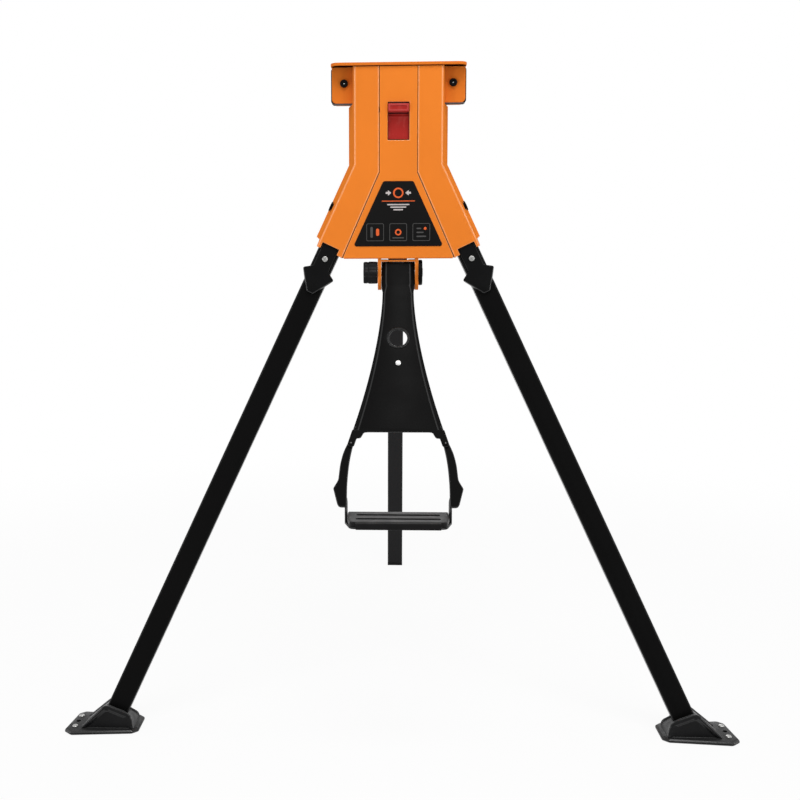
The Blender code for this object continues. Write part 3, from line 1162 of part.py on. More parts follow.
def pedal_spring(bench):
    """Torsion spring wound round the hub between the crank arms, with a straight leg at each end."""
    radius = HUB_RADIUS + SPRING_CLEAR + SPRING_WIRE / 2
    hinge = Vector((0, PEDAL_PIVOT_Y, PEDAL_PIVOT_Z))
    wire = []
    for k in range(SPRING_TURNS * SPRING_POINTS + 1):
        angle = 2 * math.pi * k / SPRING_POINTS
        along = SPRING_PITCH * (k / SPRING_POINTS - SPRING_TURNS / 2)
        wire.append(hinge + Vector((along, radius * math.cos(angle), radius * math.sin(angle))))
    leg = Vector((0, 0, SPRING_LEG))
    wire = [wire[0] - leg, *wire, wire[-1] + leg]
    curve = bpy.data.curves.new("pedal_spring", "CURVE")
    curve.dimensions = "3D"
    curve.bevel_depth = SPRING_WIRE / 2
    curve.bevel_resolution = 1
    curve.use_fill_caps = True
    spline = curve.splines.new("POLY")
    spline.points.add(len(wire) - 1)
    for point, place in zip(spline.points, wire):
        point.co = (*place, 1)
    print("pedal spring: least gap between turns, m:", round(least_gap(wire), 6))
    part("pedal_spring", evaluated(curve), "zinc", bench)


def least_gap(wire):
    """Least clear distance from the spring to itself, over points at least half a turn apart."""
    gaps = []
    for i, here in enumerate(wire):
        for there in wire[i + SPRING_POINTS // 2:]:
            gaps.append((there - here).length - SPRING_WIRE)
    return min(gaps)


def stirrup(frame):
    lap = -PEDAL_FRONT + PEDAL_LIP + GAP
    face = (lap, lap + STIRRUP_SHEET)
    outer = STIRRUP_INNER_X + STIRRUP_ARM_WIDE
    arm = [(STIRRUP_TOP_X, -STIRRUP_TOP_T), (STIRRUP_TOP_X + STIRRUP_ARM, -STIRRUP_TOP_T),
           (STIRRUP_KINK_X + STIRRUP_ARM_WIDE, -STIRRUP_KINK_T), (outer, -STIRRUP_EAR_T + STIRRUP_EAR_UP),
           (outer + STIRRUP_EAR, -STIRRUP_EAR_T), (outer, -STIRRUP_EAR_T - STIRRUP_EAR_DOWN),
           (outer, -STIRRUP_LENGTH), (STIRRUP_INNER_X, -STIRRUP_LENGTH),
           (STIRRUP_INNER_X, -STIRRUP_EAR_T), (STIRRUP_KINK_X, -STIRRUP_KINK_T)]
    level = empty("tread_frame", frame, Matrix.Translation((0, 0, -STIRRUP_LENGTH))
                  @ Matrix.Rotation(PEDAL_TILT, 4, "X"))
    tray_top = TREAD_TOP - TREAD_PAD - GAP
    half = TREAD_WIDTH / 2
    wide = half + GAP + TREAD_WALL
    corners = [(wide, TREAD_BACK, 0), (wide, -TREAD_WALL_FRONT, 0),
               (TREAD_FRONT_WIDTH / 2, -TREAD_FRONT, TREAD_ROUND)]
    tray = part("stirrup", plate("Z", rounded(mirrored(corners)), (tray_top - TREAD_TRAY, tray_top)),
                "black_paint", level)
    for side, sign in SIDES:
        wall = box((half + GAP, wide), (-TREAD_WALL_FRONT, TREAD_BACK), (tray_top - OVERLAP, TREAD_WALL_UP))
        join(tray, sided(wall, sign))
        join(tray, sided(plate("Y", arm, face), sign), frame)
        place = (sign * STIRRUP_RIVET_X, 0, -STIRRUP_RIVET_T)
        hole = rod("Y", SMALL_RIVET_RADIUS + GAP, (face[0] - OVERLAP, face[1] + OVERLAP), place,
                   SIDES_RIVET)
        cut(tray, hole, frame)
        grip = PEDAL_LIP + STIRRUP_SHEET + 3 * GAP
        head = (place[0], -PEDAL_FRONT - GAP, place[2])
        mesh = rivet(SMALL_RIVET_HEAD, SMALL_RIVET_RADIUS, grip, head)
        part(f"stirrup_rivet_{side}", mesh, "black_paint", frame)
    tread_pad(level, tray_top)


def tread_pad(level, tray_top):
    half = TREAD_WIDTH / 2 - GAP
    corners = [(half, TREAD_BACK, 0), (half, -TREAD_WALL_FRONT, 0),
               (TREAD_FRONT_WIDTH / 2, -TREAD_FRONT, TREAD_ROUND)]
    seat = tray_top + GAP
    pad = part("tread_pad", plate("Z", rounded(mirrored(corners)), (seat, TREAD_TOP)), "black_rubber", level)
    lip = TREAD_FRONT_WIDTH / 2 - TREAD_ROUND
    front = -TREAD_FRONT - GAP
    join(pad, box(both(lip), (front - TREAD_LIP, front), (tray_top - TREAD_TRAY, TREAD_TOP - OVERLAP)))
    join(pad, box(both(lip), (front - OVERLAP, front + TREAD_ROUND), (seat + OVERLAP, TREAD_TOP - OVERLAP)))
    depth = TREAD_FRONT + TREAD_BACK
    reach = both(TREAD_FRONT_WIDTH / 2 - GROOVE_MARGIN)
    for k in range(1, GROOVES + 1):
        middle = TREAD_BACK - depth * k / (GROOVES + 1)
        groove = (middle - GROOVE_WIDTH / 2, middle + GROOVE_WIDTH / 2)
        cut(pad, box(reach, groove, (TREAD_TOP - GROOVE_DEPTH, TREAD_TOP + OVERLAP)))


def lock_pawl(bench):
    """Pawl above the yoke of the drive bar, on trunnions in the sides of the beam."""
    pivot = empty("lock_pawl_frame", bench, Matrix.Translation((0, PAWL_PIVOT_Y, PAWL_PIVOT_Z)))
    reach = math.sqrt(PAWL_LENGTH ** 2 - PAWL_RISE ** 2)
    outline = capsule((0, 0), (-reach, -PAWL_RISE), PAWL_RADIUS)
    pawl = part("lock_pawl", plate("X", outline, both(PAWL_WIDTH / 2)), "dark_steel", pivot)
    join(pawl, rod("X", PAWL_PIN_RADIUS, both(BEAM_WIDTH / 2), sides=SIDES_SMALL))


clear_scene()
PARTS = new_collection("portable_clamping_workbench")
CUTTERS = new_collection("cutters")
BENCH = empty("bench_frame", None, Matrix.Translation((0, BENCH_Y, 0)))
HIPS = {side: empty(f"{side}_hip_frame", BENCH, hip_matrix(sign)) for side, sign in SIDES}

front_cover(BENCH)
fixed_jaw(BENCH)
jaw_pad("fixed_jaw_pad", BENCH, (PAD_FRONT_Y, PAD_FACE_Y),
        (JAW_BACK_Y - OVERLAP, PAD_FRONT_Y + JAW_BOLT_DEPTH + RUN_GAP))
jaw_bolts("fixed_jaw_bolt", BENCH, JAW_SETBACK, -1)
label_plate(BENCH)
lock_switch(BENCH)
switch_housing(BENCH)
main_beam(BENCH)
drive_bar(BENCH)
lock_pawl(BENCH)
sliding_jaw(BENCH)
cross_plate(BENCH)
for SIDE, SIGN in SIDES:
    side_shell(BENCH, SIDE, SIGN)
    leg_bracket(SIDE, SIGN, HIPS[SIDE])
    leg_bolt(SIDE, SIGN, HIPS[SIDE])
    front_leg(BENCH, SIDE, SIGN)
rear_leg(BENCH)
rear_bracket(BENCH)
pedal_bracket(BENCH)
pedal_knob(BENCH)
PEDAL = empty("pedal_frame", BENCH, Matrix.Translation((0, PEDAL_PIVOT_Y, PEDAL_PIVOT_Z))
              @ Matrix.Rotation(-PEDAL_TILT, 4, "X"))
pedal_arm(PEDAL)
pedal_crank(PEDAL)
pedal_spring(BENCH)
stirrup(PEDAL)
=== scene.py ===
"""Portable clamping workbench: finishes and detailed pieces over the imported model.

Metres, +Z up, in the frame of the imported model: the pedal end faces -Y.
"""
import json
import math

import bmesh
import bpy
from mathutils import Matrix, Vector

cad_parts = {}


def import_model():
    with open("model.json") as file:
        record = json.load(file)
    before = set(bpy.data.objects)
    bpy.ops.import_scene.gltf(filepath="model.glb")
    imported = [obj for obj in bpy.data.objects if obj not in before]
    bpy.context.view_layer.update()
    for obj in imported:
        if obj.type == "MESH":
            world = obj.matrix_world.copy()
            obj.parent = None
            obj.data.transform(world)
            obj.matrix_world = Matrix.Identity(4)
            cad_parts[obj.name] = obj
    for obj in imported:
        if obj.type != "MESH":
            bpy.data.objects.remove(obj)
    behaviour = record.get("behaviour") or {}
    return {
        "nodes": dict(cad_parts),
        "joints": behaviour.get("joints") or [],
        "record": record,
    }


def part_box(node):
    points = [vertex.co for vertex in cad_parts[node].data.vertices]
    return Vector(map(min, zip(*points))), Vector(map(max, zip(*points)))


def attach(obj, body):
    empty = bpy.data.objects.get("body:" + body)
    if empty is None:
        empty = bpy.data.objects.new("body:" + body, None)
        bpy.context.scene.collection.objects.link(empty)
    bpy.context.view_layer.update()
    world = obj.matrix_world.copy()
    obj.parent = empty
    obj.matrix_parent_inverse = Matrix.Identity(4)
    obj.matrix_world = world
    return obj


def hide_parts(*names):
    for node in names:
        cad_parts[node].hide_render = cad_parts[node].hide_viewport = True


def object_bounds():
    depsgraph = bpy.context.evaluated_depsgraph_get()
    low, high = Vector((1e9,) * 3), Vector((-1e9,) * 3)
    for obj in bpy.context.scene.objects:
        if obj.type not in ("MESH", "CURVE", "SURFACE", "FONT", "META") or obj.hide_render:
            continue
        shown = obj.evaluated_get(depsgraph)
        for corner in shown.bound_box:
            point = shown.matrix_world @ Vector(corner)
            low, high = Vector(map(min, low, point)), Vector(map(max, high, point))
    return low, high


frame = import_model()
CAD_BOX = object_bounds()
SIDES = (("left", -1), ("right", 1))
QUARTERS = ((1, 1), (-1, 1), (-1, -1), (1, -1))  # the corners of a rectangle, in turn
JOINTS = {joint["name"]: joint for joint in frame["joints"]}
BODY_OF = {node: body for body, nodes in frame["record"]["behaviour"]["bodies"].items() for node in nodes}
REPLACED = set()  # CAD nodes that a piece stands for
WELD = 0.000005  # points closer than this are one
SMOOTH_ANGLE = math.radians(30)
FLAT_ANGLE = math.radians(0.5)  # faces that meet at less are one
EDGE_SEGMENTS = 3  # faces across a rounded edge
LEAST_ROUND = 0.0004  # radius that a corner keeps when it is drawn in

# Camera, as fitted to the photograph
CAMERA_PLACE = (-0.011, -2.0068, 0.7265)
CAMERA_YAW = math.radians(3.01)  # turned towards -X
CAMERA_PITCH = math.radians(8.13)  # downwards
CAMERA_ROLL = math.radians(-0.33)
CAMERA_LENS = 52.07
CAMERA_SHIFT_X = 0.0875

# Light and floor
AMBIENT = 0.36
LAMPS = (  # name, place, aim, size and watts
    ("key", (0.2, -1.7, 3.1), (0, -0.3, 0.6), (1.6, 1.2), 46),
    ("left", (-1.7, -2.1, 1.0), (0, -0.3, 0.6), (0.2, 1.8), 8),
    ("right", (1.7, -2.1, 1.0), (0, -0.3, 0.6), (0.2, 1.8), 8),
    ("left_side", (-2.4, -0.3, 0.9), (0, -0.3, 0.7), (0.6, 1.4), 8),
    ("right_side", (2.4, -0.3, 0.9), (0, -0.3, 0.7), (0.6, 1.4), 8),
    ("back", (0.4, 3.2, 2.2), (0, 0, 0.6), (2.0, 1.6), 22),
)
WHITE = (1, 1, 1, 1)
FLOOR_COLOUR = (0.86, 0.86, 0.86, 1)
FLOOR_HALF = 12
FLOOR_WHITE = 0.92  # share of plain white near the object
FLOOR_FADE = (0.75, 1.9)  # distances over which that share rises to 1


# Finishes
def fill(tree, node, inputs):
    """Set a node's inputs, or link them where a value is a socket."""
    for key, value in inputs.items():
        if isinstance(value, bpy.types.NodeSocket):
            tree.links.new(value, node.inputs[key])
        else:
            node.inputs[key].default_value = value


def add_node(tree, kind, inputs=None, **settings):
    """A new shader node with its settings and inputs."""
    made = tree.nodes.new("ShaderNode" + kind)
    for name, value in settings.items():
        setattr(made, name, value)
    fill(tree, made, inputs or {})
    return made


class Finish:
    """A procedural material in the making, with its textures in metres of the piece."""

    def __init__(self, name, **sockets):
        self.material = bpy.data.materials.new(name)
        self.material.use_nodes = True
        self.tree = self.material.node_tree
        self.shader = self.tree.nodes["Principled BSDF"]
        self.place = self.node("TexCoord").outputs["Object"]
        self.use(**sockets)

    def node(self, kind, inputs=None, **settings):
        return add_node(self.tree, kind, inputs, **settings)

    def noise(self, scale, detail=2.0, stretch=(1, 1, 1)):
        """Noise with features of about 1 / scale metres, drawn out along an axis by a small stretch."""
        place = self.node("Mapping", {"Vector": self.place, "Scale": stretch}).outputs["Vector"]
        made = self.node("TexNoise", {"Vector": place, "Scale": scale, "Detail": detail})
        return made.outputs["Fac"]

    def span(self, value, low, high, start=0.35, end=0.65):
        """The value from start to end as a number from low to high."""
        limits = {"Value": value, "From Min": start, "From Max": end, "To Min": low, "To Max": high}
        return self.node("MapRange", limits).outputs["Result"]

    def times(self, one, other):
        return self.node("Math", {0: one, 1: other}, operation="MULTIPLY").outputs["Value"]

    def mix(self, share, *colours):
        """A mix of two colours; sockets 6 and 7 are the node's colour inputs, and 2 its colour output."""
        one, other = (colour if isinstance(colour, bpy.types.NodeSocket) else (*colour, 1.0)
                      for colour in colours)
        return self.node("Mix", {"Factor": share, 6: one, 7: other}, data_type="RGBA").outputs[2]

    def edges(self, radius):
        """Nearly 1 on edges rounder than a radius, and 0 on flat faces."""
        normal = self.node("NewGeometry").outputs["Normal"]
        rounded = self.node("Bevel", {"Radius": radius}, samples=6).outputs["Normal"]
        both = self.node("VectorMath", {0: normal, 1: rounded}, operation="DOT_PRODUCT")
        return self.span(both.outputs["Value"], 1.0, 0.0, 0.9, 0.995)

    def bump(self, height, depth, strength):
        limits = {"Height": height, "Distance": depth, "Strength": strength}
        return self.node("Bump", limits).outputs["Normal"]

    def use(self, **sockets):
        inputs = {socket.replace("_", " "): value for socket, value in sockets.items()}
        fill(self.tree, self.shader, inputs)


def shade(colour, factor):
    return tuple(channel * factor for channel in colour)


def powder_coat(name, colour, worn, roughness, specular):
    """Baked paint: orange-peel skin, a cloudy gloss, and edges rubbed a little paler, which is partly wear
    and partly a painted highlight.
    """
    finish = Finish(name, Specular_IOR_Level=specular)
    clouds = finish.mix(finish.span(finish.noise(7, 3), 0, 1), shade(colour, 0.97), shade(colour, 1.03))
    # Paler rounded edges: partly wear, partly a painted highlight.
    paler_edges = finish.times(finish.edges(0.001), finish.span(finish.noise(130, 4), 0.05, 0.6, 0.4, 0.7))
    peel = finish.bump(finish.noise(750, 2), 0.00012, 0.5)
    finish.use(Base_Color=finish.mix(paler_edges, clouds, worn), Normal=peel,
               Roughness=finish.span(finish.noise(22, 4), roughness - 0.05, roughness + 0.07))
    return finish.material


def moulded(name, colour, roughness, specular, grain, sheen=0.0):
    """Moulded plastic or rubber with a spark-eroded grain and dull patches."""
    finish = Finish(name, Specular_IOR_Level=specular, Sheen_Weight=sheen, Sheen_Roughness=0.35)
    clouds = finish.mix(finish.span(finish.noise(40, 3), 0, 1), shade(colour, 0.85), shade(colour, 1.2))
    paler_edges = finish.times(finish.edges(0.001), finish.span(finish.noise(200, 3), 0, 0.5, 0.4, 0.7))
    finish.use(Base_Color=finish.mix(paler_edges, clouds, shade(colour, 2.5)),
               Normal=finish.bump(finish.noise(1600, 3), grain, 0.7),
               Roughness=finish.span(finish.noise(60, 4), roughness - 0.06, roughness + 0.08))
    return finish.material


def red_plastic(name, colour, specular):
    """Moulded red with a fine grain and pale scuffs from the hand."""
    finish = Finish(name, Specular_IOR_Level=specular)
    scuffs = finish.span(finish.noise(160, 5, (1, 1, 0.4)), 0, 0.45, 0.52, 0.75)
    finish.use(Base_Color=finish.mix(scuffs, colour, (0.52, 0.085, 0.07)),
               Normal=finish.bump(finish.noise(1500, 2), 0.00005, 0.6),
               Roughness=finish.span(finish.noise(90, 4), 0.34, 0.48))
    return finish.material


def metal(name, colour, roughness, streak):
    """Plated or rolled steel with fine streaks and cloudy patches."""
    finish = Finish(name, Metallic=1.0)
    clouds = finish.mix(finish.span(finish.noise(120, 4), 0, 1), shade(colour, 0.82), shade(colour, 1.1))
    streaks = finish.noise(900, 3, streak)
    finish.use(Base_Color=clouds, Normal=finish.bump(streaks, 0.00003, 0.5),
               Roughness=finish.span(streaks, roughness - 0.08, roughness + 0.1))
    return finish.material


def film(name, colour, roughness):
    """Printed film: faint hairline scratches under a satin varnish."""
    finish = Finish(name, Specular_IOR_Level=0.06)
    hairs = finish.noise(900, 2, (0.08, 1, 1))
    clouds = finish.mix(finish.span(hairs, 0, 1, 0.5, 0.8), colour, shade(colour, 1.15))
    finish.use(Base_Color=clouds, Normal=finish.bump(hairs, 0.00001, 0.5),
               Roughness=finish.span(finish.noise(70, 3), roughness - 0.06, roughness + 0.06))
    return finish.material


PAINTS = {  # colour, colour of the paler edges (partly wear, partly a painted highlight), roughness and specular level
    "orange_paint": ((0.87, 0.233, 0.03), (0.92, 0.36, 0.1), 0.45, 0.04),
    "orange_matt": ((0.87, 0.233, 0.03), (0.92, 0.36, 0.1), 0.6, 0.0),
    # Darker copy of the orange paint: painted shade on the fixed jaw under its top plate and on the cover's
    # bottom roll.
    "orange_jaw": ((0.77, 0.194, 0.024), (0.82, 0.24, 0.04), 0.6, 0.0),
    # Paler, glossier copy of the orange paint on bends, rounded edges and seam hems: a painted highlight.
    "orange_edge": ((0.87, 0.28, 0.055), (0.95, 0.45, 0.16), 0.26, 0.8),
    "black_paint": ((0.0036, 0.0035, 0.0035), (0.014, 0.014, 0.014), 0.4, 0.035),
    # Paler, glossier copy of the black paint on bends and rounded edges: a painted highlight.
    "black_edge": ((0.005, 0.005, 0.0052), (0.024, 0.024, 0.024), 0.3, 0.34),
    # Paler, glossier black on the leg tubes' rounded sides: a painted highlight.
    "tube_side": ((0.0042, 0.0042, 0.0043), (0.016, 0.016, 0.016), 0.2, 0.12),
    # A paler black than black_paint, on the rear leg.
    "worn_black": ((0.019, 0.0188, 0.0194), (0.04, 0.04, 0.04), 0.45, 0.05),
}
MOULDINGS = {  # colour, roughness, specular level, depth of the grain and sheen
    "black_plastic": ((0.0056, 0.0056, 0.006), 0.45, 0.12, 0.00006, 0.34),
    "dark_plastic": ((0.0036, 0.0036, 0.0038), 0.45, 0.06, 0.00005, 0.05),
    # Paler, glossier copies of the black plastic on rims, bends and the catches' skirts: painted highlights.
    "plastic_edge": ((0.007, 0.007, 0.0075), 0.3, 0.4, 0.00002),
    "plastic_gloss": ((0.006, 0.006, 0.0063), 0.24, 0.45, 0.00001),
    "black_rubber": ((0.0055, 0.0052, 0.0054), 0.6, 0.1, 0.00009, 0.35),
    "black_steel": ((0.004, 0.004, 0.0042), 0.4, 0.05, 0.00002),
}
REDS = {  # colour and specular level
    "red_plastic": ((0.405, 0.022, 0.018), 0.12),
    # Paler, glossier red on the switch's rim and rounded edges: a painted highlight.
    "red_edge": ((0.47, 0.034, 0.03), 0.4),
}
METALS = {  # colour, roughness and stretch of the streaks
    "zinc": ((0.66, 0.66, 0.65), 0.3, (1, 0.1, 1)),
    "screw_steel": ((0.36, 0.36, 0.35), 0.34, (1, 0.1, 1)),
    "dark_steel": ((0.115, 0.112, 0.11), 0.45, (1, 0.06, 1)),
}
FILMS = {  # colour and roughness
    "label_film": ((0.0062, 0.006, 0.006), 0.42),
    "print_orange": ((0.78, 0.13, 0.035), 0.45),
    "print_pale": ((0.55, 0.5, 0.49), 0.45),
    "print_grey": ((0.075, 0.074, 0.073), 0.45),
}
KINDS = ((powder_coat, PAINTS), (moulded, MOULDINGS), (red_plastic, REDS), (metal, METALS), (film, FILMS))
FINISHES = {name: make(name, *values) for make, group in KINDS for name, values in group.items()}
EDGE_HIGHLIGHTS = {  # paler, glossier copy of a finish on its rounded edges and bends, a painted highlight
    "orange_paint": "orange_edge", "orange_matt": "orange_edge", "black_paint": "black_edge",
    "worn_black": "black_edge", "black_plastic": "plastic_edge", "dark_plastic": "plastic_edge",
    "red_plastic": "red_edge",
}


# Mesh helpers
def linked(name, data):
    """A new object in the scene."""
    made = bpy.data.objects.new(name, data)
    bpy.context.scene.collection.objects.link(made)
    return made


def to_mesh(shape):
    mesh = bpy.data.meshes.new("mesh")
    shape.to_mesh(mesh)
    shape.free()
    return mesh


def finished(shape):
    """The mesh of a bmesh, with its points welded and its faces turned outward."""
    bmesh.ops.remove_doubles(shape, verts=shape.verts, dist=WELD)
    bmesh.ops.recalc_face_normals(shape, faces=shape.faces)
    return to_mesh(shape)


def soften(piece, width, material):
    """Round a piece's edges so that they catch the light, with the finish of a material slot."""
    change = piece.modifiers.new("Bevel", "BEVEL")
    change.width = width
    change.segments = EDGE_SEGMENTS
    change.limit_method = "ANGLE"
    change.angle_limit = SMOOTH_ANGLE
    change.use_clamp_overlap = False
    change.harden_normals = True
    change.material = material


def place(name, mesh, finish, body, at=Matrix.Identity(4), edge=0.0, bend=None, gloss=None, node=None):
    """A piece with its finish, on its body, and in place of a CAD node where one is named.

    bend tells a bend's faces by their normals. These and the rounded edges get a paler, glossier copy of the
    finish as a painted highlight: the one that gloss names, or the one in EDGE_HIGHLIGHTS.
    """
    mesh.name = name
    mesh.materials.clear()
    mesh.materials.append(FINISHES[finish])
    highlight_finish = FINISHES.get(gloss or EDGE_HIGHLIGHTS.get(finish))
    for polygon in mesh.polygons:
        polygon.material_index = 1 if highlight_finish and bend and bend(polygon.normal) else 0
    if highlight_finish:
        mesh.materials.append(highlight_finish)
    mesh.shade_smooth()
    mesh.set_sharp_from_angle(angle=SMOOTH_ANGLE)
    made = linked(name, mesh)
    made.matrix_world = at
    if edge:
        soften(made, edge, 1 if highlight_finish else -1)
    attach(made, body)
    if node:
        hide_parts(node)
        REPLACED.add(node)


def stand_in(node, mesh, finish, at=Matrix.Identity(4), edge=0.0, suffix="fine", **more):
    """A piece in place of a CAD node, on the node's body."""
    place(f"{node}_{suffix}", mesh, finish, BODY_OF[node], at, edge, node=node, **more)


def refined(node, edge=0.0005, bend=None, finish=None):
    """A CAD node's solid with whole faces, rounded edges and smooth rounds, in place of the node."""
    source = frame["nodes"][node].data
    shape = bmesh.new()
    points = [shape.verts.new(vertex.co) for vertex in source.vertices]
    for polygon in source.polygons:
        shape.faces.new([points[k] for k in polygon.vertices])
    bmesh.ops.remove_doubles(shape, verts=shape.verts, dist=WELD)
    bmesh.ops.dissolve_limit(shape, angle_limit=FLAT_ANGLE, verts=shape.verts, edges=shape.edges)
    stand_in(node, finished(shape), finish or source.materials[0].name, edge=edge, bend=bend)


def loft(rings):
    """A closed skin through rings of as many points each, capped at both ends."""
    shape = bmesh.new()
    rows = [[shape.verts.new(point) for point in ring] for ring in rings]
    for lower, upper in zip(rows, rows[1:]):
        for k in range(len(lower)):
            shape.faces.new((lower[k - 1], lower[k], upper[k], upper[k - 1]))
    shape.faces.new(rows[0])
    shape.faces.new(rows[-1])
    return finished(shape)


def turns(count):
    """The angles of a full turn in equal steps."""
    return [2 * math.pi * k / count for k in range(count)]


def spun(axis, along, one, other):
    """A point from its place along an axis and across it; the last two keep their order."""
    return {"X": (along, one, other), "Y": (one, along, other), "Z": (one, other, along)}[axis]


def lathe(profile, axis, centre=(0, 0, 0), steps=48):
    """A closed profile of (radius, along) pairs turned about an axis through a centre."""
    shape = bmesh.new()
    rows = []
    for angle in turns(steps):
        points = [spun(axis, along, radius * math.cos(angle), radius * math.sin(angle))
                  for radius, along in profile]
        rows.append([shape.verts.new(Vector(point) + Vector(centre)) for point in points])
    for k in range(steps):
        for j in range(len(profile)):
            shape.faces.new((rows[k - 1][j - 1], rows[k - 1][j], rows[k][j], rows[k][j - 1]))
    bmesh.ops.remove_doubles(shape, verts=shape.verts, dist=WELD)
    bmesh.ops.dissolve_degenerate(shape, edges=shape.edges, dist=WELD)
    return finished(shape)


def disc(radius, span, axis, centre=(0, 0, 0), steps=48, bore=0):
    """A round bar or plate, with a bore or without."""
    profile = [(bore, span[0]), (radius, span[0]), (radius, span[1]), (bore, span[1])]
    return lathe(profile, axis, centre, steps)


def rounded(corners, steps=6):
    """Outline through (a, b, radius) corners, each rounded by its radius."""
    points = []
    for k, (a, b, radius) in enumerate(corners):
        corner = Vector((a, b))
        if not radius:
            points.append(corner)
            continue
        before = (Vector(corners[k - 1][:2]) - corner).normalized()
        after = (Vector(corners[(k + 1) % len(corners)][:2]) - corner).normalized()
        half = before.angle(after) / 2
        centre = corner + (before + after).normalized() * radius / math.sin(half)
        reach = radius / math.tan(half)
        start = math.atan2(*(corner + before * reach - centre).yx)
        turn = math.atan2(*(corner + after * reach - centre).yx) - start
        turn = (turn + math.pi) % (2 * math.pi) - math.pi
        for step in range(steps + 1):
            angle = start + turn * step / steps
            points.append(centre + Vector((math.cos(angle), math.sin(angle))) * radius)
    return points


def mirrored(corners):
    """Corners on the right, from top to bottom, with their mirror images on the left."""
    return list(corners) + [(-corner[0], *corner[1:]) for corner in reversed(corners)]


def oblong(half, tall, radius, middle=(0, 0)):
    """Outline of a rectangle with round corners."""
    return rounded([(middle[0] + a * half, middle[1] + b * tall, radius) for a, b in QUARTERS])


def inset_outline(corners, inset, steps):
    """Mirrored outline of (x, z, radius) corners, from top to bottom, drawn in by an inset."""
    middle = (corners[0][1] + corners[-1][1]) / 2
    shrunk = [(x - inset, z + math.copysign(inset, middle - z), radius) for x, z, radius in corners]
    return rounded(mirrored(shrunk), steps)


def panel(corners, levels, steps):
    """A mirrored outline drawn out along Y, through (inset, y) levels."""
    return loft([[(x, y, z) for x, z in inset_outline(corners, inset, steps)] for inset, y in levels])


def layers(corners, levels, steps):
    """An outline about the origin drawn out along Z, through (inset, height) levels."""
    rings = []
    for inset, height in levels:
        shrunk = [(a - math.copysign(inset, a), b - math.copysign(inset, b), max(radius - inset, LEAST_ROUND))
                  for a, b, radius in corners]
        rings.append([(a, b, height) for a, b in rounded(shrunk, steps)])
    return loft(rings)


def capsule(start, end, radius, steps=12):
    """Outline of a slot with round ends, between two points."""
    heading = math.atan2(end[1] - start[1], end[0] - start[0])
    points = []
    for middle, first in ((end, heading - math.pi / 2), (start, heading + math.pi / 2)):
        for step in range(steps + 1):
            angle = first + math.pi * step / steps
            points.append((middle[0] + radius * math.cos(angle), middle[1] + radius * math.sin(angle)))
    return points


def smooth_line(points, steps=6):
    """A smooth line through points, by cubic spans."""
    line = []
    for k in range(len(points) - 1):
        four = [Vector(points[min(max(k + j, 0), len(points) - 1)]) for j in (-1, 0, 1, 2)]
        for step in range(steps):
            t = step / steps
            line.append(0.5 * (2 * four[1] + (four[2] - four[0]) * t
                               + (2 * four[0] - 5 * four[1] + 4 * four[2] - four[3]) * t ** 2
                               + (3 * four[1] - four[0] - 3 * four[2] + four[3]) * t ** 3))
    line.append(Vector(points[-1]))
    return line


def plate(axis, outline, span):
    """An outline drawn out along an axis."""
    return loft([[spun(axis, along, *point) for point in outline] for along in span])


def moved(mesh, matrix):
    mesh.transform(matrix)
    if matrix.determinant() < 0:
        mesh.flip_normals()
    return mesh


def sided(mesh, sign):
    """The mesh of the right side, or its mirror image for the left."""
    return mesh if sign > 0 else moved(mesh, Matrix.Scale(-1, 4, (1, 0, 0)))


def merged(*meshes):
    """Several meshes as one."""
    shape = bmesh.new()
    for mesh in meshes:
        shape.from_mesh(mesh)
        bpy.data.meshes.remove(mesh)
    return to_mesh(shape)


def combined(operation, mesh, *others):
    """The mesh after a boolean operation with each of the others."""
    made = linked("work", mesh)
    tools = [linked("tool", other) for other in others]
    for tool in tools:
        change = made.modifiers.new("Boolean", "BOOLEAN")
        change.operation = operation
        change.object = tool
        change.solver = "EXACT"
    bpy.context.view_layer.update()
    result = bpy.data.meshes.new_from_object(made.evaluated_get(bpy.context.evaluated_depsgraph_get()))
    for item in (made, *tools):
        used = item.data
        bpy.data.objects.remove(item)
        bpy.data.meshes.remove(used)
    return result


def clamped(share):
    return min(max(share, 0), 1)


# Places
def box_of(node):
    return [Vector(corner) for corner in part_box(node)]


def leg_frame(side):
    """The hinge of a front leg: X along the hinge, Z up the leg, Y to the back."""
    hinge = Vector(JOINTS[f"{side}_leg_fold"]["axis"]).normalized()
    up = -Vector(JOINTS[f"{side}_catch_slide"]["axis"]).normalized()
    turn = Matrix((hinge, up.cross(hinge), up)).transposed().to_4x4()
    return Matrix.Translation(JOINTS[f"{side}_leg_fold"]["pos_m"]) @ turn


HEAD_FRONT = box_of("left_side_shell")[0].y
WORK_HEIGHT = CAD_BOX[1][2]
PEDAL_TILT = math.radians(27)
PEDAL_FRAME = (Matrix.Translation(JOINTS["pedal_press"]["pos_m"])
               @ Matrix.Rotation(-PEDAL_TILT, 4, "X"))
STIRRUP_LENGTH = 0.352
TREAD_FRAME = (PEDAL_FRAME @ Matrix.Translation((0, 0, -STIRRUP_LENGTH))
               @ Matrix.Rotation(PEDAL_TILT, 4, "X"))
LEG_HALF = 0.016
LEG_TOP = 0.014
LEG_BOTTOM = -0.8166
TUBE_ROUND = 0.003


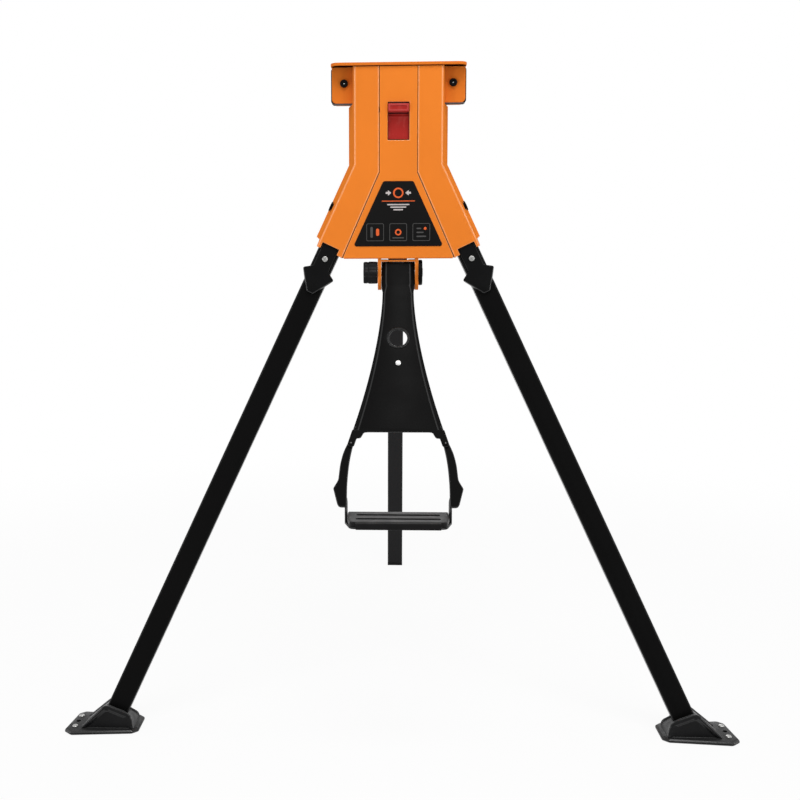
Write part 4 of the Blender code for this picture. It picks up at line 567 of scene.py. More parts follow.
# Pedal, stirrup and tread
PEDAL_FRONT = -0.0143  # front face, from the pivot
PEDAL_SHEET = 0.0025
PEDAL_LENGTH = 0.247
PEDAL_ROWS = 36  # sections below the neck
PEDAL_NECK = (0.022, 0.04)  # from the head to the neck
PEDAL_SHOULDER = 0.005  # length over which the head narrows
PEDAL_HALVES = (0.0239, 0.0223, 0.064)  # half widths at the head, neck and foot
PEDAL_FLARE = 1.6  # power by which the pedal widens
PEDAL_BENDS = (0.0068, 0.0032, 0.0082)  # widths of the bend at the head, neck and foot
PEDAL_BACK = (0.01, -0.007)  # rear edge of the side flanges at the neck and where they are lowest
PEDAL_FLANGE_END = 0.83  # share of the way down to that place
PEDAL_HUB = 0.0157  # radius of the hubs inside the flanges, about the pivot
PEDAL_HUB_INNER = 0.011  # their inner ends, from the middle
PEDAL_HUB_ARC = 118.5  # degrees each way from the back, clear of the front face
PEDAL_HUB_STEPS = 40
PEDAL_HOLE = (0.108, 0.013)  # place down the pedal and radius
PEDAL_RIVET = 0.1458
RIVET = ((0, 0), (1, 0), (1, 0.3), (0.92, 0.62), (0.72, 0.88), (0.42, 1), (0, 1.03))  # in radii and heights
RIVET_TIP = ((0, 0.0014), (0.0012, 0.0014), (0.001, 0.0018), (0.0006, 0.002), (0, 0.0021))
STIRRUP_RIVET = (0.0646, 0.263)
STIRRUP_FACE = (-0.0108, -0.0058)
TREAD_BACK = 0.0212  # in the frame of the tread, as the next three
TREAD_TOP = -0.0082
TRAY_TOP = -0.015
TRAY_LOW = TRAY_TOP - 0.003
KNOB_RADIUS = 0.0165
KNOB_LOBE = 0.0015  # height of a lobe
KNOB_LOBES = 6
KNOB_LEVELS = (  # shares of its length and of its radius
    (0, 0.9), (0.02, 0.945), (0.05, 0.965), (0.2, 0.975), (0.4, 0.98), (0.58, 0.98), (0.62, 0.965),
    (0.66, 0.935), (0.7, 0.93), (0.74, 0.945), (0.8, 0.955), (0.93, 0.95), (0.98, 0.92), (1, 0.86), (1, 0.66),
    (0.95, 0.62), (0.94, 0.3),
)


def pedal_half_width(down):
    head, neck, foot = PEDAL_HALVES
    if down <= PEDAL_NECK[1]:
        return head + (neck - head) * clamped((down - PEDAL_NECK[0]) / PEDAL_SHOULDER)
    return neck + (foot - neck) * ((down - PEDAL_NECK[1]) / (PEDAL_LENGTH - PEDAL_NECK[1])) ** PEDAL_FLARE


def pedal_section(down):
    """Section of the folded sheet: its outside from left to right, then its inside back again."""
    half = pedal_half_width(down)
    share = clamped((down - PEDAL_NECK[1]) / (PEDAL_LENGTH - PEDAL_NECK[1]))
    back = PEDAL_BACK[0] + (PEDAL_BACK[1] - PEDAL_BACK[0]) * min(share / PEDAL_FLANGE_END, 1)
    eased = clamped((down - PEDAL_NECK[0]) / (PEDAL_NECK[1] - PEDAL_NECK[0]))
    head, neck, foot = PEDAL_BENDS
    wide = head + (neck - head) * eased + (foot - neck) * share
    deep = min(wide, back - PEDAL_FRONT - 0.0004)
    start = half - wide
    ring = []
    for inset in (0, PEDAL_SHEET):
        side, front = half - inset, PEDAL_FRONT + inset
        line = [(side, max(back, front + deep + 0.0002)), (side, front + deep),
                (side - 0.0005, front + deep - 0.0009), (start + 0.0012, front + 0.0008),
                (start - 0.0008, front)]
        whole = [(-x, y) for x, y in line] + line[::-1]
        ring += whole if not inset else whole[::-1]
    return [(x, y, -down) for x, y in ring]


def pedal_arm():
    """Folded pedal with tabs for the stirrup, a rimmed hole, and hubs inside its head."""
    head, neck = PEDAL_HALVES[0], PEDAL_NECK[1]
    downs = [-0.009, 0.01, 0.021, 0.0225, 0.0245, 0.027, 0.03, 0.035, neck]
    downs += [neck + (PEDAL_LENGTH - neck) * k / PEDAL_ROWS for k in range(1, PEDAL_ROWS + 1)]
    arm = loft([pedal_section(down) for down in downs])
    face = (PEDAL_FRONT, PEDAL_FRONT + PEDAL_SHEET)
    x, down = STIRRUP_RIVET
    tab = rounded([(0.0415, -0.244, 0), (0.0415, -0.247, 0), (0.047, -0.2474, 0.004),
                   (0.0515, -0.2555, 0.004), (0.057, -0.256, 0.0015), (x - 0.005, -down - 0.001, 0),
                   (x - 0.004, -down - 0.0048, 0.0035), (x + 0.0046, -down - 0.0048, 0.004),
                   (x + 0.0046, -down, 0), (0.0632, -0.244, 0)])
    arm = combined("UNION", arm, *(sided(plate("Y", tab, face), sign) for _, sign in SIDES))
    place_down, radius = PEDAL_HOLE
    hole = (0, 0, -place_down)
    arm = combined("DIFFERENCE", arm, disc(radius, (-0.03, 0), "Y", hole, 64))
    rim = [(radius - 0.0002, face[1]), (radius - 0.0002, face[0] - 0.0008),
           (radius + 0.0008, face[0] - 0.0016), (radius + 0.002, face[0] - 0.0015),
           (radius + 0.003, face[0] - 0.001), (radius + 0.004, face[0] + 0.0004), (radius + 0.004, face[1])]
    around = [math.radians(PEDAL_HUB_ARC - 2 * PEDAL_HUB_ARC * k / PEDAL_HUB_STEPS)
              for k in range(PEDAL_HUB_STEPS + 1)]
    hub = [(PEDAL_HUB * math.cos(angle), PEDAL_HUB * math.sin(angle)) for angle in around]
    hubs = [sided(plate("X", hub, (PEDAL_HUB_INNER, head)), sign) for _, sign in SIDES]
    arm = merged(arm, lathe(rim, "Y", hole, 64), *hubs)
    # Its bends get the paler, glossier black: a painted highlight.
    stand_in("pedal_arm", arm, "black_paint", PEDAL_FRAME, 0.0004,
             bend=lambda normal: -0.985 < normal.y < -0.8)


def rivet_head(x, down, radius, height):
    """Domed head on the front face of the pedal."""
    profile = [(out * radius, PEDAL_FRONT - rise * height) for out, rise in RIVET]
    return lathe(profile, "Y", (x, 0, -down), 32)


def rivets():
    stand_in("pedal_rivet", rivet_head(0, PEDAL_RIVET, 0.0041, 0.0018), "zinc", PEDAL_FRAME, suffix="head")
    x, down = STIRRUP_RIVET
    tip = [(radius, PEDAL_FRONT - rise) for radius, rise in RIVET_TIP]
    for side, sign in SIDES:
        name = f"stirrup_rivet_{side}"
        mesh = rivet_head(sign * x, down, 0.0036, 0.0016)
        stand_in(name, mesh, "black_paint", PEDAL_FRAME, suffix="head")
        mesh = lathe(tip, "Y", (sign * x, 0, -down), 24)
        place(f"{name}_tip", mesh, "dark_steel", "pedal", PEDAL_FRAME)


def stirrup():
    """Two curved arms with ears, and a tray with side walls under the tread."""
    outer = [(0.056, 0.235), (0.0622, 0.242), (0.0677, 0.258), (0.0749, 0.275), (0.0791, 0.292),
             (0.081, 0.309), (0.0822, 0.315), (0.0872, 0.324)]
    ear = [(0.088, 0.3258), (0.0879, 0.327), (0.0829, 0.346), (0.082, 0.3485), (0.0803, 0.3508),
           (0.0788, 0.3518), (0.0705, 0.352)]
    inner = [(0.0693, 0.349), (0.0693, 0.326), (0.0685, 0.309), (0.0669, 0.292), (0.0641, 0.275),
             (0.0599, 0.258), (0.0535, 0.242), (0.0535, 0.235)]
    outline = smooth_line(outer) + [Vector(point) for point in ear] + smooth_line(inner)
    shape = [(x, -down) for x, down in outline]
    wall = rounded([(-0.012, TRAY_LOW, 0.001), (TREAD_BACK, TRAY_LOW, 0.004), (TREAD_BACK, 0.006, 0.006),
                    (0.004, 0.016, 0.004), (-0.012, 0.001, 0.006)])
    meshes = []
    for _, sign in SIDES:
        meshes.append(moved(sided(plate("Y", shape, STIRRUP_FACE), sign), PEDAL_FRAME))
        meshes.append(moved(sided(plate("X", wall, (0.0691, 0.0721)), sign), TREAD_FRAME))
    corners = [(0.0721, TREAD_BACK, 0.003), (0.0721, -0.012, 0.006), (0.0645, -0.041, 0.008)]
    meshes.append(moved(plate("Z", rounded(mirrored(corners)), (TRAY_LOW, TRAY_TOP)), TREAD_FRAME))
    stand_in("stirrup", merged(*meshes), "black_paint", edge=0.0012)


def tread():
    """Rubber tread: a crowned pad with two broad grooves and a lip over the front edge."""
    low, top = TRAY_TOP + 0.0003, TREAD_TOP
    corners = [(0.0687, TREAD_BACK, 0.002), (0.0687, -0.012, 0.01), (0.0645, -0.041, 0.008)]
    levels = ((0.0002, low), (0, low + 0.001), (0, top - 0.0022), (0.0006, top - 0.0009),
              (0.0017, top - 0.0002), (0.003, top))
    grooves = [plate("Z", capsule((-0.053, middle), (0.053, middle), 0.004), (top - 0.0018, top + 0.002))
               for middle in (0.0005, -0.0216)]
    pad = combined("DIFFERENCE", layers(mirrored(corners), levels, 8), *grooves)
    lip = rounded([(-0.0443, TRAY_LOW, 0.001), (-0.0413, TRAY_LOW, 0.0005), (-0.0413, top - 0.001, 0.0),
                   (-0.036, top - 0.0012, 0.0), (-0.038, top - 0.0002, 0.0), (-0.0443, top - 0.0012, 0.002)])
    front = plate("X", lip, (-0.0565, 0.0565))
    stand_in("tread_pad", merged(pad, front), "black_rubber", TREAD_FRAME, 0.0003)


def knob():
    """Lobed lock knob with grooved waists and a dished end, and the plain cap on the pin's other end."""
    low, high = box_of("pedal_lock_knob")
    pivot = Vector(JOINTS["pedal_press"]["pos_m"])
    length = high.x - low.x
    rings = []
    for share, scale in KNOB_LEVELS:
        ring = []
        for angle in turns(72):
            radius = (KNOB_RADIUS + KNOB_LOBE * math.cos(KNOB_LOBES * angle)) * scale
            ring.append((high.x - share * length, pivot.y + radius * math.cos(angle),
                         pivot.z + radius * math.sin(angle)))
        rings.append(ring)
    stand_in("pedal_lock_knob", loft(rings), "black_plastic", edge=0.0003)
    low, high = box_of("pedal_pin_nut")
    radius = (high.z - low.z) / 2
    end = high.x - 0.001
    profile = [(0, low.x), (radius - 0.0006, low.x), (radius, low.x + 0.0008), (radius, end - 0.0014),
               (radius - 0.0005, end - 0.0005), (radius - 0.0014, end), (0.006, end), (0.005, end - 0.0012),
               (0, end - 0.0012)]
    mesh = lathe(profile, "X", (0, pivot.y, pivot.z), 64)
    place("pedal_pin_cap", mesh, "black_paint", "frame", node="pedal_pin_nut")


def pedal():
    pedal_arm()
    rivets()
    stirrup()
    tread()
    knob()


# Feet and front legs
FOOT_SPREAD = 0.42889  # ankle from the middle of the bench
FOOT_FORWARD = -0.3767
FOOT_SOLE = 0.006  # thickness
FOOT_HUMP_LOW = 0.004  # foot of the hump, inside the sole
FOOT_HOLE = (0.0485, 0.0035)  # place out from the ankle and radius
FOOT_RIM = (  # way in from the hump's edge, drop, and share of the side that is left
    (0.005, 0.0018, 1), (0.0044, 0.0004, 1), (0.0018, 0, 1), (0.0008, 0.0006, 1), (0, 0.0028, 1),
    (0.0001, 0.004, 0.96), (0.0012, 0.0052, 0.9), (0.0026, 0.0062, 0.8),
)
FOOT_STUD = (  # radius and height over the sole
    (0, -0.0008), (0.0045, -0.0008), (0.0044, 0.0008), (0.0036, 0.0018), (0.002, 0.0023), (0, 0.0024),
)
CATCH_FRONT = -LEG_HALF - 0.0003  # back of the catch, on the front of the leg
CATCH_SCREW = -0.074  # place down the leg
CATCH_SCREW_HEAD = ((0, 0), (0.0043, 0), (0.0043, 0.0009), (0.0038, 0.0017), (0.0027, 0.0021), (0, 0.0021))


def foot(side, sign):
    """Moulded foot: a bevelled sole, a hump round the leg with rims along its edges, studs and a hole."""
    corners = [(0.0625, -0.027, 0.005), (0.051, -0.038, 0.005), (-0.039, -0.03, 0.005),
               (-0.047, -0.022, 0.005), (-0.047, 0.023, 0.005), (-0.04, 0.03, 0.005),
               (0.048, 0.038, 0.006), (0.056, 0.031, 0.006)]
    levels = ((0.0012, 0), (0, 0.0012), (0, 0.0032), (0.0008, 0.0044), (0.002, 0.0055), (0.0034, FOOT_SOLE))
    out, radius = FOOT_HOLE
    hole = disc(radius, (0.0015, 0.009), "Z", (out, 0, 0), 32)
    sole = combined("DIFFERENCE", layers(corners, levels, 4), hole)
    near = [(-0.0395, FOOT_HUMP_LOW), (-0.0394, 0.009), (-0.0388, 0.0135), (-0.0375, 0.0205),
            (-0.0352, 0.0258), (-0.031, 0.0293), (-0.003, 0.0408), (0.002, 0.0408), (0.006, 0.0382),
            (0.0345, 0.0118), (0.0378, 0.0086), (0.038, FOOT_HUMP_LOW)]
    far = [(-0.0395, FOOT_HUMP_LOW), (-0.0394, 0.0085), (-0.0388, 0.0105), (-0.0375, 0.013),
           (-0.0352, 0.0152), (-0.031, 0.0175), (-0.003, 0.0352), (0.002, 0.035), (0.005, 0.033),
           (0.033, 0.01), (0.036, 0.008), (0.037, FOOT_HUMP_LOW)]
    lower = [[(u, v, max(z - 0.0024, 0.0045)) for u, z in profile]
             for profile, v in ((near, -0.0222), (far, 0.019))]
    meshes = [sole, loft(lower)]
    middle = Vector((-0.002, 0.016))
    for profile, edge in ((near, -0.0258), (far, 0.0225)):
        rings = []
        for inward, drop, shrink in FOOT_RIM:
            ring = []
            for u, z in profile:
                u, z = middle + (Vector((u, max(z - drop, FOOT_HUMP_LOW))) - middle) * shrink
                ring.append((u, edge - math.copysign(inward, edge), z))
            rings.append(ring)
        meshes.append(loft(rings))
    mesh = moved(sided(merged(*meshes), sign), Matrix.Translation((sign * FOOT_SPREAD, FOOT_FORWARD, 0)))
    # The rims get the paler, glossier plastic: a painted highlight.
    stand_in(f"{side}_foot", mesh, "black_plastic", bend=lambda normal: 0.25 < abs(normal.y) < 0.9)
    stud = [(radius, FOOT_SOLE + rise) for radius, rise in FOOT_STUD]
    for end in ("front", "rear"):
        name = f"{side}_foot_stud_{end}"
        low, high = box_of(name)
        spot = (low + high) / 2
        stand_in(name, lathe(stud, "Z", (spot.x, spot.y, 0), 32), "screw_steel", suffix="cap")


def feet():
    for side, sign in SIDES:
        foot(side, sign)


def catch(side):
    """Moulded slide catch, an arrowhead below a tongue with sloping walls, and its cross-slotted screw."""
    rings = []
    for rise, skirt, flare in ((0, 0.0033, 0.0028), (0.003, 0.0029, 0.0024), (0.0043, 0.0024, 0.002),
                               (0.005, 0.0013, 0.0011)):
        corners = [(0.009 + skirt, -0.046, 0.002), (0.009 + skirt, -0.089, 0.001),
                   (0.022 + flare, -0.0965 - 0.2 * flare, 0.003), (0.003 + flare, -0.1245 - flare, 0.002)]
        rings.append([(x, CATCH_FRONT - rise, z) for x, z in rounded(mirrored(corners), 5)])
    # The skirts get the paler, glossier plastic: a painted highlight.
    stand_in(f"{side}_leg_catch", loft(rings), "dark_plastic", leg_frame(side),
             bend=lambda normal: normal.y > -0.95 and normal.z < -0.25, gloss="plastic_gloss")
    seat = CATCH_FRONT - 0.0053
    profile = [(radius, seat - rise) for radius, rise in CATCH_SCREW_HEAD]
    reach = 0.0026
    cross = [plate("Y", capsule(start, end, 0.0006), (seat - 0.003, seat - 0.0012))
             for start, end in (((-reach, CATCH_SCREW), (reach, CATCH_SCREW)),
                                ((0, CATCH_SCREW - reach), (0, CATCH_SCREW + reach)))]
    head = combined("DIFFERENCE", lathe(profile, "Y", (0, 0, CATCH_SCREW), 32), *cross)
    stand_in(f"{side}_catch_screw", head, "screw_steel", leg_frame(side), 0.0002, "head")


def legs():
    outline = oblong(LEG_HALF, LEG_HALF, TUBE_ROUND)
    for side, _ in SIDES:
        tube = plate("Z", outline, (LEG_BOTTOM, LEG_TOP))
        # The tubes' rounded sides get a paler, glossier black: a painted highlight.
        stand_in(f"{side}_leg_tube", tube, "black_paint", leg_frame(side),
                 bend=lambda normal: abs(normal.x) > 0.15, gloss="tube_side")
        catch(side)


# Jaws
PAD_RIBS = 9
PAD_MARGIN = 0.0045  # from the ribs to the edge of the pad
WELD_RADIUS = 0.0016
WELD_RIPPLE = 0.0011  # length of a ripple
SADDLE_SHEET = 0.015  # top of the saddle, from the lowest point of the sliding jaw
GUSSET_HALF = 0.002  # half its thickness
GUSSET_PLACE = 0.04 - 0.004 - GUSSET_HALF


def jaw_pad(node, facing):
    """Rubber jaw pad with chamfered ends, and ribs on the face that grips; facing is its side along Y."""
    low, high = box_of(node)
    half, middle = (high.x - low.x) / 2, (low.z + high.z) / 2
    tall = (high.z - low.z) / 2
    near, far = (low.y, high.y) if facing > 0 else (high.y, low.y)
    corners = [(half, middle + tall, 0.004), (half, middle - tall, 0.004)]
    levels = ((0.0008, near), (0, near + facing * 0.0008), (0, far - facing * 0.003),
              (0.0014, far - facing * 0.0014))
    meshes = [panel(corners, levels, 5)]
    base, crest = far - facing * 0.0018, far
    for k in range(PAD_RIBS):
        z = middle - tall + PAD_MARGIN + (2 * tall - 2 * PAD_MARGIN) * k / (PAD_RIBS - 1)
        rib = [(base, z - 0.0021), (crest, z - 0.0011), (crest, z + 0.0011), (base, z + 0.0021)]
        meshes.append(plate("X", rib, (-half + PAD_MARGIN, half - PAD_MARGIN)))
    stand_in(node, merged(*meshes), "black_rubber", edge=0.0003)


def jaw_bolt(node, outward):
    """Socket-head bolt: a dark rim, a hexagon socket and a pale bottom to it."""
    low, high = box_of(node)
    x, z = (low.x + high.x) / 2, (low.z + high.z) / 2
    radius = (high.x - low.x) / 2
    face = low.y if outward < 0 else high.y
    back = face - outward * 0.004
    profile = [(0, back), (radius, back), (radius, face - outward * 0.0012),
               (radius - 0.0004, face - outward * 0.0004), (radius - 0.0012, face), (0, face)]
    hexagon = [(x + 0.003 * math.cos(angle), z + 0.003 * math.sin(angle)) for angle in turns(6)]
    socket = plate("Y", hexagon, sorted((face + outward * 0.001, face - outward * 0.0026)))
    head = combined("DIFFERENCE", lathe(profile, "Y", (x, 0, z), 40), socket)
    stand_in(node, head, "black_steel", edge=0.0002, suffix="head")
    seat = face - outward * 0.0024
    bottom = [(0, seat), (0.0008, seat), (0.0006, seat + outward * 0.0004), (0, seat + outward * 0.0006)]
    place(f"{node}_socket", lathe(bottom, "Y", (x, 0, z), 20), "zinc", BODY_OF[node])


def bead(name, start, end, body):
    """Weld bead: a run of overlapping ripples along a joint."""
    start, end = Vector(start), Vector(end)
    along = (end - start).normalized()
    side = along.orthogonal().normalized()
    other = along.cross(side)
    count = max(int((end - start).length / WELD_RIPPLE), 4)
    rings = []
    for k in range(count + 1):
        share = k / count
        ends = min(1, 0.35 + 6 * min(share, 1 - share))
        swell = WELD_RADIUS * (0.86 + 0.14 * math.cos(k * math.pi * 0.66)) * ends
        middle = start.lerp(end, share)
        rings.append([middle + swell * (side * math.cos(angle) + other * math.sin(angle))
                      for angle in turns(10)])
    place(name, loft(rings), "orange_paint", body)


def jaws():
    jaw_pad("fixed_jaw_pad", 1)
    jaw_pad("sliding_jaw_pad", -1)
    for side, _ in SIDES:
        jaw_bolt(f"fixed_jaw_bolt_{side}", -1)
        jaw_bolt(f"sliding_jaw_bolt_{side}", 1)
    # The fixed jaw gets the darker orange: painted shade under its top plate.
    refined("fixed_jaw", 0.0008, finish="orange_jaw")
    refined("sliding_jaw", 0.0008)
    low, high = box_of("sliding_jaw")
    back = box_of("sliding_jaw_pad")[1].y + 0.0043
    saddle = low.z + SADDLE_SHEET
    for side, sign in SIDES:
        for face in (-1, 1):
            x = sign * (GUSSET_PLACE + face * GUSSET_HALF)
            end = f"{side}_{'in' if face * sign < 0 else 'out'}"
            bead(f"gusset_weld_{end}", (x, back, saddle + 0.006), (x, back, saddle + 0.1), "sliding_jaw")
            bead(f"saddle_weld_{end}", (x, back + 0.004, saddle), (x, high.y - 0.012, saddle), "sliding_jaw")


# Head
HEM_RADIUS = 0.0012
CAP_SHADOW_HALF = 0.0625  # half length of the black strip under the jaw's top plate, a painted shadow
LABEL_INK = (0.00012, 0.00005)  # print before and behind the face of the film
LABEL_FRAME = 0.0125  # half size of a framed mark
LABEL_FRAME_LINE = 0.0008


def switch():
    """Red rocker: a thumb lip with a rimmed face, over a dished plate, and a black strip below the lip as
    painted shadow; the rim is a paler red, a painted highlight.
    """
    pivot = Vector(JOINTS["lock_switch_rock"]["pos_m"])
    at = Matrix.Translation(pivot)
    half, up, down = 0.01475, 0.0246, 0.0244
    lip_low, lip_front = up - 0.0115, HEAD_FRONT - pivot.y - 0.006
    face = [(-0.0012, up), (-0.0042, up), (-0.0042, 0.0128), (-0.002, 0.0128), (-0.002, 0.01),
            (-0.0038, 0.007), (-0.0036, 0.004), (-0.003, -0.004), (-0.0032, -0.014), (-0.0042, -down),
            (-0.0012, -down)]
    levels = ((0, -0.003), (0, lip_front + 0.0014), (0.0004, lip_front + 0.0004), (0.0012, lip_front),
              (0.0022, lip_front), (0.0026, lip_front + 0.0004), (0.004, lip_front + 0.0005))
    lip = panel([(half, up, 0.0012), (half, lip_low, 0.0012)], levels, 4)
    boss = disc(0.0026, (-half, half), "X", steps=32)
    pin = disc(0.002, (-0.0195, 0.0195), "X", steps=24)
    rocker = merged(plate("X", face, (-half, half)), lip, boss, pin)
    stand_in("lock_switch", rocker, "red_plastic", at, 0.0003)
    outside, inside = (inset_outline([(half, up, 0.001), (half, lip_low, 0.001)], inset, 4)
                       for inset in (0.001, 0.003))
    rim = combined("DIFFERENCE", plate("Y", outside, (lip_front - 0.0004, lip_front + 0.0008)),
                   plate("Y", inside, (lip_front - 0.002, lip_front + 0.002)))
    # The rim in a paler, glossier red: a painted highlight.
    place("lock_switch_rim", rim, "red_edge", "lock_switch", at, 0.0003)
    # A black strip in the groove under the lip: painted shadow.
    shadow_band = [(-0.0018, 0.0126), (-0.0026, 0.0126), (-0.0026, 0.0113), (-0.0018, 0.0113)]
    mesh = plate("X", shadow_band, (-half + 0.0006, half - 0.0006))
    place("lock_switch_shadow_strip", mesh, "black_steel", "lock_switch", at)


def label():
    """Film on the cover with a made-up clamp sign: a ring, two arrowheads, bars and framed marks."""
    low, high = box_of("label_plate")
    face, top, bottom = low.y, high.z, low.z
    corners = [(0.0214, top, 0.004), (0.06435, bottom, 0.003)]
    levels = ((0, high.y), (0, face + 0.0001), (0.0003, face))
    stand_in("label_plate", panel(corners, levels, 6), "label_film")
    ink = (face - LABEL_INK[0], face + LABEL_INK[1])

    def bar(start, end, radius):
        return plate("Y", capsule(start, end, radius), ink)

    middle = top - 0.0165
    line = middle - 0.0115
    orange = [disc(0.0074, ink, "Y", (0, 0, middle), 48, 0.0052)]
    arrow = rounded([(0.01, middle, 0.0004), (0.0148, middle + 0.004, 0.0004), (0.0148, middle + 0.0014, 0),
                     (0.018, middle + 0.0014, 0.0003), (0.018, middle - 0.0014, 0.0003),
                     (0.0148, middle - 0.0014, 0), (0.0148, middle - 0.004, 0.0004)])
    pale = [sided(plate("Y", arrow, ink), sign) for _, sign in SIDES]
    orange.append(bar((-0.023, line), (0.023, line), 0.0006))
    for k, reach in enumerate((0.015, 0.0105, 0.006)):
        z = line - 0.005 - 0.0036 * k
        pale.append(bar((-reach, z), (reach, z), 0.0009))
    grey = []
    z = bottom + 0.0075 + LABEL_FRAME
    inner = LABEL_FRAME - LABEL_FRAME_LINE
    for k, x in enumerate((-0.033, 0.0, 0.033)):
        outside = plate("Y", oblong(LABEL_FRAME, LABEL_FRAME, 0.0022, (x, z)), ink)
        inside = plate("Y", oblong(inner, inner, 0.0016, (x, z)), (ink[0] - 0.001, ink[1] + 0.001))
        grey.append(combined("DIFFERENCE", outside, inside))
        if k == 0:
            grey.append(bar((x - 0.005, z - 0.006), (x - 0.005, z + 0.006), 0.0018))
            orange.append(bar((x + 0.0035, z - 0.003), (x + 0.0035, z + 0.003), 0.0022))
        elif k == 1:
            orange.append(disc(0.0046, ink, "Y", (x, 0, z), 32, 0.0026))
            grey.append(bar((x - 0.0075, z - 0.008), (x + 0.0075, z - 0.008), 0.0008))
        else:
            for j in range(3):
                rise = z - 0.006 + 0.0056 * j
                grey.append(bar((x - 0.006, rise), (x + 0.006 - 0.0036 * j, rise), 0.001))
            orange.append(disc(0.002, ink, "Y", (x + 0.0055, 0, z + 0.0052), 24))
    for finish, meshes in (("print_orange", orange), ("print_pale", pale), ("print_grey", grey)):
        place(f"label_{finish}", merged(*meshes), finish, "frame")


def hem(side, sign):
    """Folded edge of a side shell down its seam with the cover, in a paler painted highlight, and a black
    strip in the seam as painted shadow.
    """
    seam = {}
    for vertex in frame["nodes"][f"{side}_side_shell"].data.vertices:
        x, y, z = vertex.co
        level = round(z, 4)
        if abs(y - HEAD_FRONT) < WELD and (level not in seam or sign * x < sign * seam[level]):
            seam[level] = x
    inner = sorted(abs(x) for x in seam.values())
    line = sorted(((level, x) for level, x in seam.items() if abs(x) <= inner[1] or level == min(seam)),
                  reverse=True)
    rings = [[(x + sign * (HEM_RADIUS + HEM_RADIUS * math.cos(angle)),
               HEAD_FRONT + 0.0009 + HEM_RADIUS * math.sin(angle), level) for angle in turns(20)]
             for level, x in line]
    place(f"{side}_seam_hem", loft(rings), "orange_edge", "frame")
    # A black strip in the seam: painted shadow.
    front, back = HEAD_FRONT + 0.00015, HEAD_FRONT + 0.0015
    rings = []
    for level, x in line:
        near, far = x + sign * 0.0001, x - sign * 0.001
        rings.append([(near, front, level), (far, front, level), (far, back, level), (near, back, level)])
    place(f"{side}_seam_shadow_strip", loft(rings), "black_steel", "frame")


def head():
    switch()
    label()
    # The bends get the paler, glossier orange: a painted highlight.
    for node in ("front_cover", "left_side_shell", "right_side_shell"):
        refined(node, 0.0009, lambda normal: -0.995 < normal.y < -0.7, "orange_matt")
    for side, sign in SIDES:
        hem(side, sign)
    # A black strip under the jaw's top plate: painted shadow.
    front, back = HEAD_FRONT - 0.0003, HEAD_FRONT + 0.001
    low, high = WORK_HEIGHT - 0.0053, WORK_HEIGHT - 0.0043
    shadow_band = [(front, low), (back, low), (back, high), (front, high)]
    place("cap_shadow_strip", plate("X", shadow_band, (-CAP_SHADOW_HALF, CAP_SHADOW_HALF)), "black_steel", "frame")
    low, high = box_of("front_cover")
    ends = ((0, 0.002), (0.0009, 0.002), (0.0013, 0.0026))
    profile = [(radius, low.x + inset) for radius, inset in ends]
    profile += [(radius, high.x - inset) for radius, inset in reversed(ends)]
    # A roll along the cover's bottom edge in the darker orange: painted shade.
    roll = lathe(profile, "X", (0, HEAD_FRONT + 0.0012, low.z + 0.0002), 24)
    place("cover_foot_hem", roll, "orange_jaw", "frame")
    # A black capsule flush on the left seam stands for a small notch: painted shade.
    seam, level = box_of("left_side_shell")[1].x - 0.0002, box_of("lock_switch")[1].z
    mark = capsule((seam, level - 0.0125), (seam, level - 0.0065), 0.0011)
    place("seam_notch_shade", plate("Y", mark, (HEAD_FRONT - 0.0001, HEAD_FRONT + 0.002)), "black_steel", "frame")


# Beam and rear leg
BEAM_ROUND = 0.004
BEAM_BORE_ROUND = 0.0015
BEAM_WALL = 0.003
BEAM_SLOT = (-0.266, 0.338, 0.008)  # its ends along the beam, and half its width
REAR_LEAN = math.radians(5.1)


def tail():
    """Beam and rear leg as drawn tubes with round corners."""
    low, high = box_of("main_beam")
    middle = (0, (low.z + high.z) / 2)
    half, tall = (high.x - low.x) / 2, (high.z - low.z) / 2
    outside = plate("Y", oblong(half, tall, BEAM_ROUND, middle), (low.y, high.y))
    bore = oblong(half - BEAM_WALL, tall - BEAM_WALL, BEAM_BORE_ROUND, middle)
    inside = plate("Y", bore, (low.y - 0.01, high.y + 0.01))
    start, end, width = BEAM_SLOT
    slot = plate("Z", capsule((0, start), (0, end), width), (high.z - 0.01, high.z + 0.01))
    beam = combined("DIFFERENCE", outside, inside, slot)
    stand_in("main_beam", beam, "orange_paint", edge=0.0004)
    hinge = JOINTS["rear_leg_fold"]["pos_m"]
    low, high = box_of("rear_leg_tube")
    rise = LEG_HALF * math.sin(REAR_LEAN)
    bottom = -(hinge[2] - low.z - rise) / math.cos(REAR_LEAN)
    top = (high.z - hinge[2] - rise) / math.cos(REAR_LEAN)
    tube = plate("Z", oblong(LEG_HALF, LEG_HALF, TUBE_ROUND), (bottom, top))
    at = Matrix.Translation(hinge) @ Matrix.Rotation(REAR_LEAN, 4, "X")
    # The rear leg is a paler black, and its rounded corners a paler, glossier black: a painted highlight.
    stand_in("rear_leg_tube", tube, "worn_black", at, bend=lambda normal: 0.15 < abs(normal.x) < 0.985)


# Stage
def camera():
    data = bpy.data.cameras.new("camera")
    data.lens = CAMERA_LENS
    data.shift_x = CAMERA_SHIFT_X
    made = linked("camera", data)
    turn = (Matrix.Rotation(CAMERA_YAW, 4, "Z") @ Matrix.Rotation(math.pi / 2 - CAMERA_PITCH, 4, "X")
            @ Matrix.Rotation(CAMERA_ROLL, 4, "Z"))
    made.matrix_world = Matrix.Translation(CAMERA_PLACE) @ turn
    bpy.context.scene.camera = made


def lamp(name, spot, aim, size, watts):
    data = bpy.data.lights.new(name, "AREA")
    data.shape = "RECTANGLE"
    data.size, data.size_y = size
    data.energy = watts
    made = linked(name, data)
    towards = (Vector(aim) - Vector(spot)).to_track_quat("-Z", "Y").to_matrix().to_4x4()
    made.matrix_world = Matrix.Translation(spot) @ towards
    made.visible_camera = False


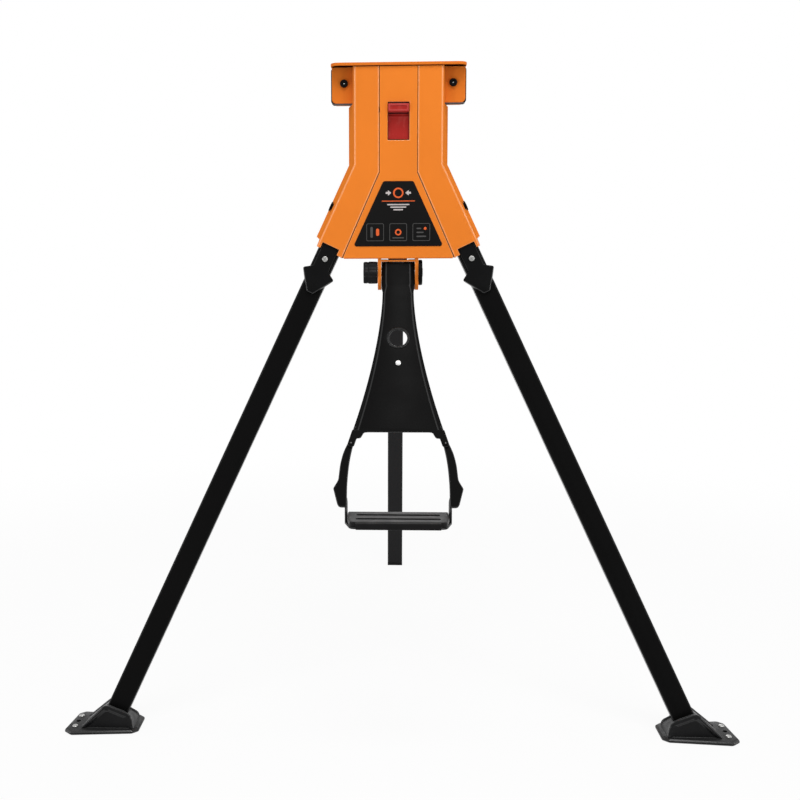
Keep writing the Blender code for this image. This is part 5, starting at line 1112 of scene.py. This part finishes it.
def white_to_camera(tree):
    """1 on rays from the camera, a mirror or glass, and 0 on the rays that light things."""
    path = add_node(tree, "LightPath").outputs
    share = path["Is Camera Ray"]
    for ray in ("Is Glossy Ray", "Is Transmission Ray"):
        larger = add_node(tree, "Math", {0: share, 1: path[ray]}, operation="MAXIMUM")
        share = larger.outputs["Value"]
    return share


def world():
    """Soft light from all round, which the camera sees as white."""
    made = bpy.data.worlds.new("studio")
    made.use_nodes = True
    bpy.context.scene.world = made
    tree = made.node_tree
    soft = tree.nodes["Background"]
    fill(tree, soft, {"Color": WHITE, "Strength": AMBIENT})
    white = add_node(tree, "Background", {"Color": WHITE, "Strength": 1.0})
    mix = add_node(tree, "MixShader", {"Fac": white_to_camera(tree), 1: soft.outputs["Background"],
                                       2: white.outputs["Background"]})
    tree.links.new(mix.outputs["Shader"], tree.nodes["World Output"].inputs["Surface"])


def floor():
    """Pale floor with the object's shadow, which the camera sees as white further out."""
    shape = bmesh.new()
    bmesh.ops.create_grid(shape, x_segments=1, y_segments=1, size=FLOOR_HALF)
    made = linked("floor", finished(shape))
    material = bpy.data.materials.new("floor")
    material.use_nodes = True
    tree = material.node_tree
    paint = tree.nodes["Principled BSDF"]
    fill(tree, paint, {"Base Color": FLOOR_COLOUR, "Roughness": 0.9, "Specular IOR Level": 0.0})
    glow = add_node(tree, "Emission", {"Strength": 1.0})
    spot = add_node(tree, "TexCoord").outputs["Object"]
    distance = add_node(tree, "VectorMath", {0: spot}, operation="LENGTH")
    limits = {"Value": distance.outputs["Value"], "From Min": FLOOR_FADE[0], "From Max": FLOOR_FADE[1],
              "To Min": FLOOR_WHITE, "To Max": 1.0}
    fade = add_node(tree, "MapRange", limits, interpolation_type="SMOOTHSTEP").outputs["Result"]
    share = add_node(tree, "Math", {0: white_to_camera(tree), 1: fade}, operation="MULTIPLY")
    mix = add_node(tree, "MixShader", {"Fac": share.outputs["Value"], 1: paint.outputs["BSDF"],
                                       2: glow.outputs["Emission"]})
    tree.links.new(mix.outputs["Shader"], tree.nodes["Material Output"].inputs["Surface"])
    made.data.materials.append(material)


def studio():
    bpy.context.scene.view_settings.view_transform = "Standard"
    camera()
    world()
    for values in LAMPS:
        lamp(*values)
    floor()


for build in (pedal, feet, legs, jaws, head, tail):
    build()
for node in frame["nodes"]:
    if node not in REPLACED:
        refined(node)
studio()
